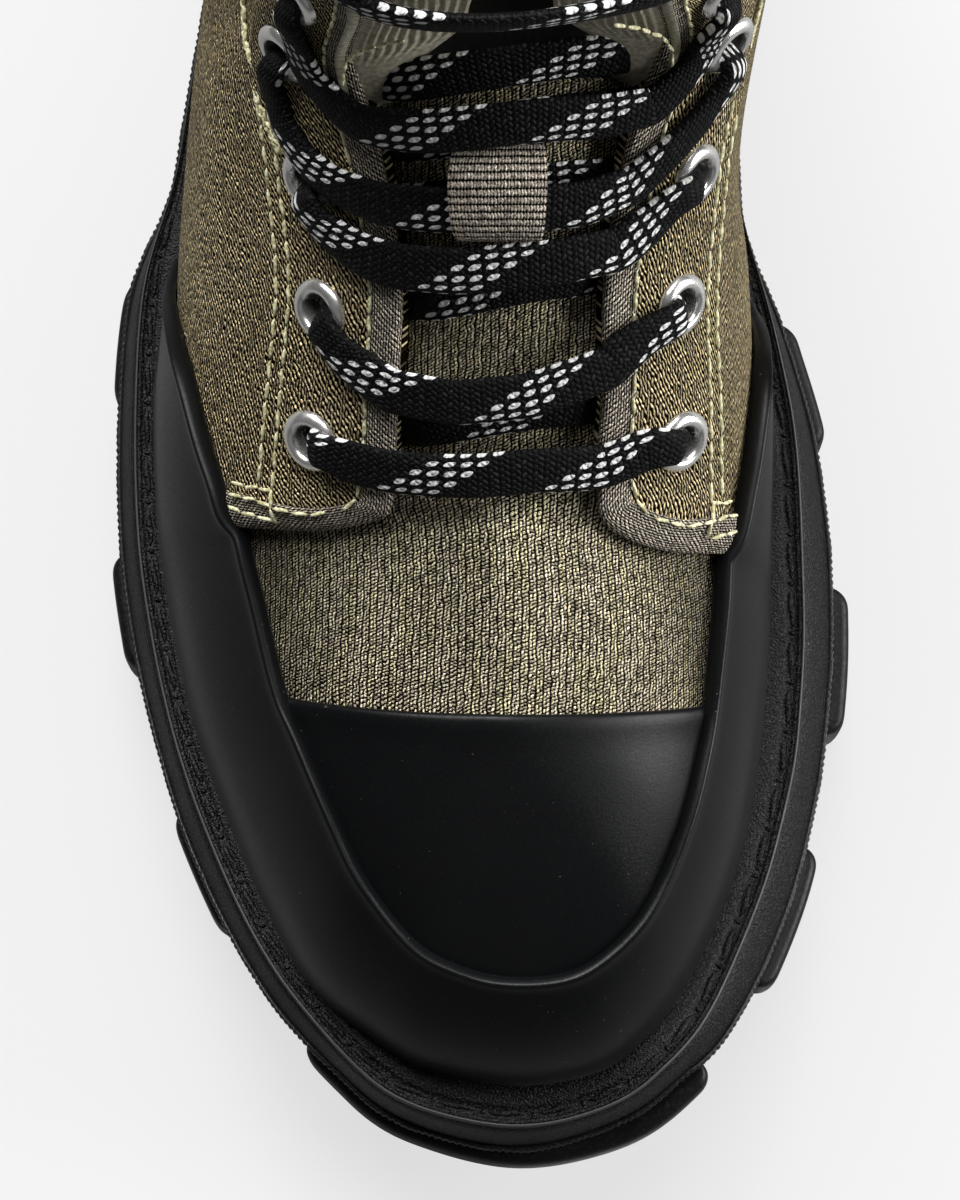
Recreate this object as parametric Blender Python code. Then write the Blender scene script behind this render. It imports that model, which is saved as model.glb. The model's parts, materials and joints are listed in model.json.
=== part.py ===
"""Lug sole ankle boot, right foot. Toe towards -Y, inner side towards +X, floor at z = 0."""
import math

import bmesh
import bpy
import numpy as np
from mathutils import Vector

MM = 0.001

# Driving sizes in millimetres
GAP = 0.3
OVER_GAP = 0.55
WALL = 1.8
RAND_THICK = 2.8
RAND_FOOT = 1.6
RAND_END = 10.2
CAP_THICK = 1.2
CAP_CORNER = 6.0
STAY_THICK = 1.2
STAY_WIDTH = 23.0
STAY_ROUND = 0.34
STAY_TOP = 13.5
TAPE_WIDTH = 4.6
TAPE_THICK = 1.7
TAPE_REACH = {-1.0: 27.6, 1.0: 25.8}
THROAT_FRONT = 7.6
THROAT_CORNER = 7.9
COLLAR_CORNER = 13.6
THROAT_PITCH = 17.0
WELT_THICK = 3.6
WELT_INNER = -5.0
LUG_DEPTH = 15.0
INSOLE_INSET = -2.6
INSOLE_THICK = 4.0
TONGUE_THICK = 2.6
TONGUE_CLEAR = 0.8
TONGUE_TOP = ((2.6, 8.5), (3.4, 17.0))
TONGUE_ROWS = (7.92, 8.4, 8.9, 9.45, 9.85, 10.2, 10.8, 11.5, 12.0, 12.4, 13.0)
EYELET_OUTER = 4.6
EYELET_INNER = 2.5
EYELET_HEIGHT = 1.1
EYELET_SIDES = 8
EYELET_INSET = 13.0
LACE_WIDTH = 6.4
LACE_THICK = 2.0
LACE_OVER = 3.7
LACE_END = 0.56
BAR_SAG = 0.25
LOOP_THICK = 1.1
LOOP_STATION = 10.3
LOOP_SHIFT = -0.03
LOOP_HALF = 0.2
LOOP_ARCH = ((-0.46, -2.2), (-0.42, 2.0), (-0.24, 5.4), (0.24, 5.4), (0.42, 2.0), (0.46, -2.2))
HEEL = 18.0
SHIFT_X = -0.41
SHIFT_Y = 1.72

# Stations from the toe (0) to the back of the heel (18): feather line of both sides, how far the
# sole's milled edge stands out of it, and the heights of the sole's layers
SOLE_COLUMNS = ("u", "lat_x", "lat_y", "med_x", "med_y", "lat_flange", "med_flange",
                "feather", "ledge", "outsole", "slab", "ground")
SOLE = (
    (0, 10.0, -129.1, 10.0, -129.1, 13.6, 13.6, 43.0, 32.0, 27.5, 20.0, 11.5),
    (1, -1.0, -127.9, 20.5, -126.8, 12.8, 12.4, 42.6, 31.6, 27.1, 19.4, 10.8),
    (2, -8.6, -124.1, 25.0, -123.2, 11.5, 12.3, 41.8, 30.8, 26.3, 18.4, 9.4),
    (3, -16.1, -118.4, 28.6, -118.4, 10.5, 13.5, 40.5, 29.5, 25.0, 17.0, 7.5),
    (4, -23.0, -107.7, 33.6, -107.5, 11.3, 13.9, 38.0, 27.0, 22.5, 13.5, 3.6),
    (5, -29.9, -93.9, 37.3, -94.4, 11.7, 14.1, 36.3, 24.8, 20.4, 10.5, 0.8),
    (6, -35.0, -82.0, 38.9, -80.0, 11.2, 14.6, 35.4, 23.6, 19.3, 9.0, 0.0),
    (7, -39.2, -67.4, 39.1, -68.0, 11.4, 14.9, 35.0, 23.0, 19.0, 8.5, 0.0),
    (8, -42.0, -54.0, 38.8, -54.0, 11.2, 14.4, 35.0, 23.0, 19.0, 8.5, 0.0),
    (9, -43.7, -38.0, 38.3, -38.0, 10.8, 12.2, 36.0, 23.6, 19.5, 8.5, 0.0),
    (10, -44.6, -20.0, 36.2, -20.0, 9.7, 8.3, 37.6, 25.0, 20.8, 9.5, 0.0),
    (11, -43.8, 0.0, 33.2, 0.0, 4.5, 3.5, 39.6, 27.0, 22.6, 12.5, 3.0),
    (12, -41.8, 22.0, 31.4, 22.0, 4.2, 3.6, 41.6, 29.0, 24.5, 14.0, 3.0),
    (13, -38.2, 48.0, 31.0, 48.0, 5.2, 4.4, 43.6, 31.0, 26.3, 12.0, 0.0),
    (14, -35.4, 76.0, 30.0, 76.0, 5.8, 5.4, 45.0, 32.4, 27.6, 11.0, 0.0),
    (15, -31.0, 101.0, 26.5, 101.0, 6.2, 6.0, 45.8, 33.2, 28.3, 10.5, 0.0),
    (16, -23.5, 120.0, 19.5, 120.0, 6.6, 6.6, 46.0, 33.5, 28.5, 10.5, 0.0),
    (17, -13.5, 129.2, 9.5, 129.2, 7.0, 7.0, 46.0, 33.5, 28.5, 10.8, 0.6),
    (18, -2.0, 132.2, -2.0, 132.2, 7.0, 7.0, 46.0, 33.5, 28.5, 11.0, 1.0),
)

# Sections of the upper from the toe to the heel: its top point on both sides, the outward lean and
# pull of the wall at the feather line, and the turn, drop and pull of the cloth at the top
UPPER_COLUMNS = ("u", "lat_x", "lat_y", "med_x", "med_y", "top", "lean", "base_pull",
                 "turn", "drop", "top_pull")
UPPER = (
    (0.0, 5.0, -84.6, 5.0, -84.6, 79.0, 18.0, 17.0, -84.0, 23.0, 25.0),
    (2.0, 5.0, -84.6, 5.0, -84.6, 79.0, 15.0, 18.0, -62.0, 20.0, 24.0),
    (4.0, 5.0, -84.6, 5.0, -84.6, 79.0, 12.0, 21.0, -32.0, 15.0, 23.0),
    (6.0, 5.0, -84.6, 5.0, -84.6, 79.0, 9.0, 25.0, 0.0, 10.0, 22.0),
    (7.0, 4.6, -70.5, 4.6, -70.5, 84.4, 9.0, 27.0, 0.0, 11.0, 22.0),
    (7.6, 3.4, -59.0, 3.4, -59.0, 89.0, 8.0, 28.0, 0.0, 12.0, 22.0),
    (7.9, -10.6, -56.4, 16.4, -54.4, 87.2, 8.0, 28.0, 0.0, 20.0, 17.0),
    (8.6, -10.9, -46.5, 16.4, -43.0, 95.0, 8.0, 30.0, 2.0, 24.0, 17.0),
    (9.5, -10.8, -32.5, 15.6, -28.5, 106.5, 8.0, 32.0, 4.0, 28.0, 18.0),
    (10.5, -14.2, -16.6, 17.4, -12.4, 119.0, 8.0, 34.0, 6.0, 31.0, 19.0),
    (11.5, -18.6, -4.4, 21.4, 0.6, 134.0, 8.0, 34.0, 10.0, 33.0, 20.0),
    (12.3, -16.6, -3.0, 19.6, 1.2, 150.0, 8.0, 36.0, 16.0, 27.0, 24.0),
    (13.0, -16.0, -2.0, 18.8, 1.2, 165.0, 7.0, 38.0, 24.0, 25.0, 26.0),
    (13.6, -16.5, -0.5, 19.0, 2.0, 173.0, 7.0, 40.0, 30.0, 34.0, 28.0),
    (14.3, -29.0, 10.0, 28.5, 11.0, 172.0, 7.0, 40.0, 48.0, 66.0, 34.0),
    (15.0, -36.5, 36.0, 33.0, 36.0, 170.0, 7.0, 40.0, 60.0, 86.0, 44.0),
    (16.0, -33.0, 77.0, 28.0, 77.0, 173.0, 8.0, 40.0, 60.0, 88.0, 52.0),
    (17.0, -19.0, 101.5, 14.2, 101.5, 176.5, 10.0, 39.0, 75.0, 89.0, 58.0),
    (18.0, -2.6, 109.0, -2.6, 109.0, 178.0, 11.0, 38.0, 90.0, 89.0, 62.0),
)

# Height of the rubber rand above the feather line, measured along the wall
RAND_COLUMNS = ("u", "lat", "med")
RAND = (
    (0.0, 23.8, 23.8), (1.0, 25.0, 23.5), (2.0, 27.0, 24.0), (3.0, 30.0, 25.0), (4.0, 32.3, 27.0),
    (5.0, 34.5, 29.5), (6.0, 36.0, 31.0), (7.0, 36.0, 32.3), (8.0, 35.5, 33.0), (8.5, 34.0, 32.5),
    (9.0, 31.0, 31.0), (9.5, 24.0, 26.0), (9.8, 16.0, 18.0), (10.2, 4.0, 4.0), (11.0, 8.0, 8.0),
    (12.0, 16.0, 16.0), (13.0, 24.0, 24.0), (18.0, 30.0, 30.0),
)

# How far the welt's edge stands out of the feather line
RIM_COLUMNS = ("u", "lat", "med")
RIM = (
    (0.0, 10.5, 10.5), (1.0, 10.0, 9.7), (2.0, 8.9, 9.4), (3.0, 7.4, 9.6), (4.0, 8.1, 9.15),
    (5.0, 8.3, 9.3), (6.0, 8.0, 9.9), (7.0, 7.95, 9.9), (8.0, 7.75, 9.3), (9.0, 7.4, 8.1),
    (10.0, 6.5, 5.6), (11.0, 2.9, 2.3), (12.0, 2.7, 2.3), (13.0, 3.3, 2.8), (14.0, 3.7, 3.45),
    (15.0, 4.0, 3.85), (16.0, 4.2, 4.2), (17.0, 4.5, 4.5), (18.0, 4.5, 4.5),
)

# Side lugs: first and last station and how far they stand out of the milled edge, on each side
LUG_COLUMNS = ("lat_first", "lat_last", "lat_out", "med_first", "med_last", "med_out")
LUGS = (
    (4.05, 5.3, 0.9, 3.72, 5.15, 2.2),
    (6.75, 7.95, 1.65, 6.2, 7.9, 2.6),
    (9.25, 10.25, 1.1, 9.15, 10.15, 2.1),
    (12.9, 13.75, 1.6, 12.9, 13.75, 1.6),
    (14.4, 15.2, 1.6, 14.4, 15.2, 1.6),
)
TOE_COLUMNS = ("station", "out")
TOE_LUG = ((-2.7, 1.0), (-2.0, 1.3), (-1.0, 1.4), (0.0, 1.75), (1.0, 2.75), (2.0, 3.0), (2.65, 2.5))
HEEL_LUG = (1.9, 1.8)

# Bars of the tread under the middle of the sole: station and half length along the foot
BARS = ((4.6, 7.0), (6.0, 7.0), (7.35, 7.0), (8.7, 7.0), (9.9, 6.0), (13.4, 8.0), (14.7, 8.0), (15.8, 5.0))

# Eyelet rows: station of the throat edge and how far the ring stands clear of the eyestay
EYELET_COLUMNS = ("station", "clear")
EYELET_ROWS = ((8.45, 0.4), (9.45, 0.4), (10.4, 0.5), (11.4, 1.0), (12.25, 0.6), (13.0, 0.4))

# Lace crossings: start past the lower row, where the lace begins to climb, its height under and over
CROSS_COLUMNS = ("start", "rise", "under", "over")
CROSSINGS = (
    (0.15, 0.1, -0.9, 3.7),
    (0.12, 0.1, -0.9, 3.7),
    (-0.08, 0.5, -0.9, 4.3),
    (-0.25, 0.1, 0.2, 4.3),
    (-0.1, 0.1, -0.5, 3.9),
)

COLOURS = {
    "canvas": (0.19, 0.165, 0.095, 1.0),
    "black rubber": (0.012, 0.012, 0.012, 1.0),
    "sole rubber": (0.016, 0.016, 0.017, 1.0),
    "tape": (0.16, 0.14, 0.11, 1.0),
    "lace": (0.01, 0.01, 0.012, 1.0),
    "nickel": (0.62, 0.6, 0.56, 1.0),
    "sock": (0.03, 0.03, 0.03, 1.0),
}


def clear_scene():
    for old in list(bpy.data.objects):
        bpy.data.objects.remove(old, do_unlink=True)


def slopes(x, y):
    """Slopes of a cubic through the points that never overshoots them."""
    step = np.diff(x)
    rise = np.diff(y) / step
    slope = np.zeros(len(x))
    slope[0] = rise[0]
    slope[-1] = rise[-1]
    for k in range(1, len(x) - 1):
        if rise[k - 1] * rise[k] > 0.0:
            first = 2.0 * step[k] + step[k - 1]
            second = step[k] + 2.0 * step[k - 1]
            slope[k] = (first + second) / (first / rise[k - 1] + second / rise[k])
    return slope


class Track:
    """A smooth value along the foot, read from one column of a table."""

    def __init__(self, x, y):
        self.x = np.array(x, float)
        self.y = np.array(y, float)
        self.slope = slopes(self.x, self.y)

    def __call__(self, at):
        k = int(np.clip(np.searchsorted(self.x, at) - 1, 0, len(self.x) - 2))
        width = self.x[k + 1] - self.x[k]
        t = (at - self.x[k]) / width
        a = self.y[k] * (1.0 + 2.0 * t) * (1.0 - t) ** 2
        b = self.slope[k] * width * t * (1.0 - t) ** 2
        c = self.y[k + 1] * t * t * (3.0 - 2.0 * t)
        d = self.slope[k + 1] * width * t * t * (t - 1.0)
        return float(a + b + c + d)


def both_sides(table, columns, lateral, medial):
    """Joins the columns of the two sides at the toe: negative stations are the outer side."""
    u = [row[columns.index("u")] for row in table]
    lat = [row[columns.index(lateral)] for row in table]
    med = [row[columns.index(medial)] for row in table]
    past = 2.0 * HEEL - u[-2]
    at = [-past] + [-s for s in reversed(u)] + u[1:] + [past]
    return Track(at, [med[-2]] + list(reversed(lat)) + med[1:] + [lat[-2]])


def one_column(table, columns, name):
    return both_sides(table, columns, name, name)


FEATHER_X = both_sides(SOLE, SOLE_COLUMNS, "lat_x", "med_x")
FEATHER_Y = both_sides(SOLE, SOLE_COLUMNS, "lat_y", "med_y")
FLANGE = both_sides(SOLE, SOLE_COLUMNS, "lat_flange", "med_flange")
FOOT_Y = [0.5 * (row[SOLE_COLUMNS.index("lat_y")] + row[SOLE_COLUMNS.index("med_y")]) for row in SOLE]
HEIGHT = {name: Track(FOOT_Y, [row[SOLE_COLUMNS.index(name)] for row in SOLE]) for name in SOLE_COLUMNS[7:]}
TOP_X = both_sides(UPPER, UPPER_COLUMNS, "lat_x", "med_x")
TOP_Y = both_sides(UPPER, UPPER_COLUMNS, "lat_y", "med_y")
SHAPE = {name: one_column(UPPER, UPPER_COLUMNS, name) for name in UPPER_COLUMNS[5:]}
RAND_LINE = both_sides(RAND, RAND_COLUMNS, "lat", "med")
RIM_LINE = both_sides(RIM, RIM_COLUMNS, "lat", "med")


def wrap(w):
    """Stations run round the foot, so past the heel they go on along the other side."""
    if w > HEEL:
        return w - 2.0 * HEEL
    if w < -HEEL:
        return w + 2.0 * HEEL
    return w


def feather_point(w):
    return np.array((FEATHER_X(wrap(w)), FEATHER_Y(wrap(w))))


def outward(w):
    """Unit vector in plan that points out of the foot at a station."""
    along = feather_point(w + 0.12) - feather_point(w - 0.12)
    along = along / np.linalg.norm(along)
    return np.array((along[1], -along[0]))


def sole_height(name, y):
    """Height of one of the sole's layers at a distance along the foot."""
    return HEIGHT[name](min(max(y, FOOT_Y[0]), FOOT_Y[-1]))


def sole_point(w, offset, name, extra=0.0):
    plan = feather_point(w) + outward(w) * offset
    return (plan[0], plan[1], sole_height(name, plan[1]) + extra)


def top_point(w):
    """Top of a section: on the ridge of the vamp both sides share it."""
    plan = np.array((TOP_X(w), TOP_Y(w)))
    if abs(w) <= THROAT_FRONT:
        plan = 0.5 * (plan + np.array((TOP_X(-w), TOP_Y(-w))))
    return np.array((plan[0], plan[1], SHAPE["top"](w)))


def wall_curve(w):
    """Section of the upper's outside from the feather line to its top edge."""
    w = wrap(w)
    plan = feather_point(w)
    out = outward(w)
    base = np.array((plan[0], plan[1], sole_height("feather", plan[1]) + GAP))
    lean = math.radians(SHAPE["lean"](w))
    rise = np.array((out[0] * math.sin(lean), out[1] * math.sin(lean), math.cos(lean)))
    top = top_point(w)
    side = 1.0 if w >= 0.0 else -1.0
    turn = math.radians(SHAPE["turn"](w))
    drop = math.radians(SHAPE["drop"](w))
    if abs(w) < 0.01:
        turn = -math.pi / 2.0
    fall = np.array((side * math.cos(turn) * math.cos(drop), math.sin(turn) * math.cos(drop), -math.sin(drop)))
    low = base + rise * SHAPE["base_pull"](w)
    high = top + fall * SHAPE["top_pull"](w)
    t = np.linspace(0.0, 1.0, 61)[:, None]
    curve = base * (1 - t) ** 3 + low * 3 * t * (1 - t) ** 2 + high * 3 * t * t * (1 - t) + top * t ** 3
    length = np.concatenate(([0.0], np.cumsum(np.linalg.norm(np.diff(curve, axis=0), axis=1))))
    return curve, length


def along_wall(w, distance):
    curve, length = wall_curve(w)
    return np.array([np.interp(distance, length, curve[:, k]) for k in range(3)])


def below_top(w, distance):
    curve, length = wall_curve(w)
    return np.array([np.interp(length[-1] - distance, length, curve[:, k]) for k in range(3)])


def wall_normal(w, distance):
    """Outward normal of the upper at a distance below its top edge."""
    across = below_top(w, max(distance - 1.0, 0.0)) - below_top(w, distance + 1.0)
    along = below_top(w + 0.1, distance) - below_top(w - 0.1, distance)
    normal = np.cross(along, across)
    return normal / np.linalg.norm(normal)


def off_wall(w, distance, offset):
    return below_top(w, distance) + wall_normal(w, distance) * offset


def material(name):
    found = bpy.data.materials.get(name)
    if found is None:
        found = bpy.data.materials.new(name)
        found.use_nodes = True
        shader = found.node_tree.nodes["Principled BSDF"]
        shader.inputs["Base Color"].default_value = COLOURS[name]
        shader.inputs["Roughness"].default_value = 0.3 if name == "nickel" else 0.7
        shader.inputs["Metallic"].default_value = 1.0 if name == "nickel" else 0.0
    return found


def add_solid(name, points, faces, paint):
    """Makes one object from points in millimetres and closes its faces the right way round."""
    mesh = bpy.data.meshes.new(name)
    mesh.from_pydata([[c * MM for c in p] for p in points], [], faces)
    form = bmesh.new()
    form.from_mesh(mesh)
    bmesh.ops.remove_doubles(form, verts=form.verts, dist=0.00001)
    bmesh.ops.dissolve_degenerate(form, edges=form.edges, dist=0.00001)
    bmesh.ops.recalc_face_normals(form, faces=form.faces)
    bmesh.ops.triangulate(form, faces=form.faces)
    form.to_mesh(mesh)
    form.free()
    piece = bpy.data.objects.new(name, mesh)
    piece.data.materials.append(material(paint))
    bpy.context.scene.collection.objects.link(piece)
    return piece


def layer(rings, stations):
    """A slab of the sole: rings from below to above, closed by ladders from side to side."""
    points = []
    faces = []
    count = len(stations)
    for offset, height in rings:
        for w in stations:
            points.append(sole_point(w, offset(w), *height))
    for r in range(len(rings) - 1):
        for k in range(count):
            n = (k + 1) % count
            faces.append((r * count + k, r * count + n, (r + 1) * count + n, (r + 1) * count + k))
    for base in (0, (len(rings) - 1) * count):
        for k in range(count // 2):
            quad = [base + k, base + k + 1, base + (count - k - 1) % count, base + (count - k) % count]
            faces.append(tuple(dict.fromkeys(quad)))
    return points, faces


def ring_frame(rings, stations):
    """A closed frame of the sole: the rings go once round its section."""
    points = []
    faces = []
    count = len(stations)
    total = len(rings)
    for offset, height in rings:
        for w in stations:
            points.append(sole_point(w, offset(w), *height))
    for r in range(total):
        s = (r + 1) % total
        for k in range(count):
            n = (k + 1) % count
            faces.append((r * count + k, r * count + n, s * count + n, s * count + k))
    return points, faces


def shell(outer, inner, loop=False):
    """Closes two matching grids of points into one solid: rows of columns, open at all borders."""
    rows = len(outer)
    columns = len(outer[0])
    flat = [p for row in outer for p in row] + [p for row in inner for p in row]
    half = rows * columns
    faces = []
    reach = columns if loop else columns - 1
    for r in range(rows - 1):
        for c in range(reach):
            n = (c + 1) % columns
            quad = (r * columns + c, r * columns + n, (r + 1) * columns + n, (r + 1) * columns + c)
            faces.append(quad)
            faces.append(tuple(half + q for q in reversed(quad)))
    for c in range(reach):
        n = (c + 1) % columns
        last = (rows - 1) * columns
        faces.append((n, c, half + c, half + n))
        faces.append((last + c, last + n, half + last + n, half + last + c))
    if not loop:
        for r in range(rows - 1):
            a = r * columns
            b = (r + 1) * columns
            faces.append((a, b, half + b, half + a))
            faces.append((b + columns - 1, a + columns - 1, half + a + columns - 1, half + b + columns - 1))
    return flat, faces


def boolean(piece, cutter, operation):
    change = piece.modifiers.new("cut", "BOOLEAN")
    change.operation = operation
    change.solver = "EXACT"
    change.object = cutter
    bpy.context.view_layer.objects.active = piece
    for other in bpy.context.scene.objects:
        other.select_set(other == piece)
    bpy.ops.object.modifier_apply(modifier=change.name)
    bpy.data.objects.remove(cutter, do_unlink=True)
    form = bmesh.new()
    form.from_mesh(piece.data)
    bmesh.ops.remove_doubles(form, verts=form.verts, dist=0.00002)
    bmesh.ops.dissolve_degenerate(form, edges=form.edges, dist=0.00002)
    bmesh.ops.triangulate(form, faces=form.faces)
    form.to_mesh(piece.data)
    form.free()


def stations(count):
    """Stations once round the sole, closer together at toe and heel, the same on both sides."""
    side = []
    for k in range(count + 1):
        t = k / count
        side.append(HEEL * t)
    return [s for s in side] + [-s for s in reversed(side[1:-1])]


SIDE_COLUMNS = (0.0, 0.7, 1.4, 2.1, 2.8, 3.5, 4.3, 5.1, 6.0, 6.5, 7.0, 7.35, 7.6, 7.9, 8.4, 8.9, 9.45, 9.85, 10.2,
                10.8, 11.5, 12.0, 12.4, 13.0, 13.6, 14.3, 15.0, 15.6, 16.2, 16.7, 17.2, 17.6)
COLUMNS_ROUND = [-HEEL] + [-s for s in reversed(SIDE_COLUMNS[1:])] + list(SIDE_COLUMNS)
LOW_ROWS = (0.0, 0.25, 0.5, 0.75, 1.0)
MID_ROWS = (0.33, 0.67, 1.0)
TOP_ROWS = (0.4, 0.8, 1.0)


def wall_rows(w):
    """Distances along one section that keep the rand's edge and the eyestay's edge on a row."""
    curve, length = wall_curve(w)
    rand = RAND_LINE(w)
    band = length[-1] - STAY_WIDTH
    rows = [rand * r for r in LOW_ROWS]
    rows += [rand + (band - rand) * r for r in MID_ROWS]
    rows += [band + STAY_WIDTH * r for r in TOP_ROWS]
    return rows


def wall_grid():
    """Points and smooth normals of the upper's outside, row by row from the feather line."""
    columns = [[along_wall(w, d) for d in wall_rows(w)] for w in COLUMNS_ROUND]
    rows = len(columns[0])
    count = len(columns)
    grid = [[columns[c][r] for c in range(count)] for r in range(rows)]
    total = {}
    for r in range(rows - 1):
        for c in range(count):
            n = (c + 1) % count
            corners = (grid[r][c], grid[r][n], grid[r + 1][n], grid[r + 1][c])
            face = np.cross(corners[2] - corners[0], corners[3] - corners[1])
            for corner in corners:
                key = tuple(np.round(corner, 3))
                total[key] = total.get(key, np.zeros(3)) + face
    normals = []
    for row in grid:
        line = []
        for point in row:
            vector = total[tuple(np.round(point, 3))]
            line.append(vector / np.linalg.norm(vector))
        normals.append(line)
    return grid, normals


def moved(grid, normals, offset, rows, columns):
    return [[grid[r][c] + normals[r][c] * offset for c in columns] for r in rows]


def column_index(w):
    return min(range(len(COLUMNS_ROUND)), key=lambda k: abs(COLUMNS_ROUND[k] - w))


def build_upper(grid, normals):
    rows = range(len(grid))
    columns = range(len(COLUMNS_ROUND))
    outer = moved(grid, normals, 0.0, rows, columns)
    inner = moved(grid, normals, -WALL, rows, columns)
    for c in columns:
        inner[0][c] = inner[0][c] * np.array((1.0, 1.0, 0.0)) + outer[0][c] * np.array((0.0, 0.0, 1.0))
    points, faces = upper_faces(outer, inner)
    return add_solid("upper", points, faces, "canvas")


def upper_faces(outer, inner):
    """The wall's two faces, joined along the feather line, the throat and the collar."""
    rows = len(outer)
    count = len(outer[0])
    points = [p for row in outer for p in row] + [p for row in inner for p in row]
    half = rows * count
    faces = []
    for r in range(rows - 1):
        for c in range(count):
            n = (c + 1) % count
            quad = (r * count + c, r * count + n, (r + 1) * count + n, (r + 1) * count + c)
            faces.append(quad)
            faces.append(tuple(half + q for q in reversed(quad)))
    last = (rows - 1) * count
    for c in range(count):
        n = (c + 1) % count
        faces.append((n, c, half + c, half + n))
        middle = 0.5 * (COLUMNS_ROUND[c] + (COLUMNS_ROUND[n] if n else HEEL))
        if abs(middle) > THROAT_FRONT:
            faces.append((last + c, last + n, half + last + n, half + last + c))
    return points, faces


def build_rand(grid, normals):
    first = column_index(-RAND_END)
    last = column_index(RAND_END)
    columns = range(first, last + 1)
    rows = range(len(LOW_ROWS))
    inner = moved(grid, normals, GAP, rows, columns)
    outer = []
    for r in rows:
        line = []
        for c in columns:
            taper = min(1.0, (RAND_END - abs(COLUMNS_ROUND[c])) / 1.4 + 0.45)
            edge = 0.78 if r == len(LOW_ROWS) - 1 else 1.0
            foot = RAND_FOOT if r == 0 else 0.0
            line.append(grid[r][c] + normals[r][c] * (GAP + (RAND_THICK * edge + foot) * taper))
        outer.append(line)
    for line in (outer[0], inner[0]):
        for k, point in enumerate(line):
            line[k] = np.array((point[0], point[1], sole_height("feather", point[1]) + GAP))
    points, faces = shell(outer, inner)
    return add_solid("rand", points, faces, "black rubber")


def build_cap(grid, normals):
    columns = range(column_index(-CAP_CORNER), column_index(CAP_CORNER) + 1)
    first = len(LOW_ROWS) - 1
    rows = range(first, len(grid))
    inner = moved(grid, normals, GAP, rows, columns)
    outer = moved(grid, normals, GAP + CAP_THICK, rows, columns)
    for k in range(len(inner[0])):
        step = inner[1][k] - inner[0][k]
        nudge = step / np.linalg.norm(step) * 0.5
        inner[0][k] = inner[0][k] + nudge
        outer[0][k] = outer[0][k] + nudge
    points, faces = shell(outer, inner)
    return add_solid("toe_cap", points, faces, "black rubber")


def stay_front(r):
    """Station of the eyestay's rounded lower end at a distance from the throat edge."""
    reach = max(0.0, 1.0 - ((r - 12.0) / 12.5) ** 2)
    return THROAT_CORNER - STAY_ROUND * math.sqrt(reach)


def stay_point(side, w, r, offset):
    """A point on the eyestay: in front of the throat its distance runs from the line of the edge."""
    ahead = 0.0
    if w < THROAT_CORNER:
        ahead = abs(top_point(side * w)[0] - top_point(side * THROAT_CORNER)[0])
    return off_wall(side * w, r + ahead, offset)


def stay_columns():
    return [s for s in SIDE_COLUMNS if THROAT_CORNER < s < COLLAR_CORNER] + [STAY_TOP]


def build_stay(side, name):
    across = (STAY_WIDTH, STAY_WIDTH * 0.6, TAPE_WIDTH + 0.4)
    tape = (TAPE_WIDTH + 0.5) / THROAT_PITCH
    grids = []
    for offset in (OVER_GAP + STAY_THICK, OVER_GAP):
        grid = []
        for r in across:
            line = [stay_point(side, stay_front(r) + tape, r, offset)]
            line += [off_wall(side * w, r, offset) for w in stay_columns()]
            grid.append(line)
        grids.append(grid)
    points, faces = shell(grids[0], grids[1])
    return add_solid(name, points, faces, "canvas")


def build_tape(side, name):
    """Binding along the throat edge and round the eyestay's lower end."""
    tape = TAPE_WIDTH / THROAT_PITCH
    path = []
    for r in (TAPE_REACH[side], STAY_WIDTH, 18.0, STAY_WIDTH * 0.6, 9.0):
        path.append((r, stay_front(r), r, stay_front(r) + tape))
    path.append((3.6, stay_front(3.6) + 0.02, 6.0, stay_front(6.0) + tape))
    path.append((0.9, stay_front(0.9) + 0.06, TAPE_WIDTH, stay_front(TAPE_WIDTH) + tape))
    for w in stay_columns():
        path.append((0.0, w, TAPE_WIDTH, w))
    grids = []
    for offset in (OVER_GAP + TAPE_THICK, OVER_GAP + 0.2):
        edge = [stay_point(side, w, r, offset) for r, w, r_in, w_in in path]
        inside = [stay_point(side, w_in, r_in, offset) for r, w, r_in, w_in in path]
        grids.append([edge, inside])
    points, faces = shell(grids[0], grids[1])
    return add_solid(name, points, faces, "tape")


def eyelet_place(side, row):
    station, clear = row
    w = side * station
    return off_wall(w, EYELET_INSET, OVER_GAP + STAY_THICK + clear), wall_normal(w, EYELET_INSET)


def build_eyelet(side, row, name):
    centre, normal = eyelet_place(side, row)
    section = ((EYELET_INNER, 0.0), (EYELET_OUTER, 0.0), (EYELET_OUTER - 0.7, EYELET_HEIGHT * 0.8),
               (EYELET_INNER + 0.3, EYELET_HEIGHT))
    turn = Vector(normal).to_track_quat("Z", "Y").to_matrix()
    points = []
    faces = []
    total = len(section)
    for k in range(EYELET_SIDES):
        angle = 2.0 * math.pi * k / EYELET_SIDES
        for radius, height in section:
            spot = turn @ Vector((radius * math.cos(angle), radius * math.sin(angle), height))
            points.append(centre + np.array(spot))
    for k in range(EYELET_SIDES):
        n = (k + 1) % EYELET_SIDES
        for j in range(total):
            m = (j + 1) % total
            faces.append((k * total + j, n * total + j, n * total + m, k * total + m))
    return add_solid(name, points, faces, "nickel")


def throat_span(w, lift, reach, parts):
    """Points from side to side across the throat at a station, a lift above or below the wall."""
    lat = off_wall(-w, 0.0, lift)
    med = off_wall(w, 0.0, lift)
    lat_run = lat - off_wall(-w, 6.0, lift)
    med_run = off_wall(w, 6.0, lift) - med
    gap = np.linalg.norm(med - lat)
    lat_run = lat_run / np.linalg.norm(lat_run) * gap
    med_run = med_run / np.linalg.norm(med_run) * gap
    line = [off_wall(-w, reach * k / 3.0, lift) for k in (3, 2, 1, 0)]
    for k in range(1, parts):
        t = k / parts
        line.append(lat * (1 + 2 * t) * (1 - t) ** 2 + lat_run * t * (1 - t) ** 2
                    + med * t * t * (3 - 2 * t) + med_run * t * t * (t - 1))
    line += [off_wall(w, reach * k / 3.0, lift) for k in (0, 1, 2, 3)]
    return line


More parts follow.
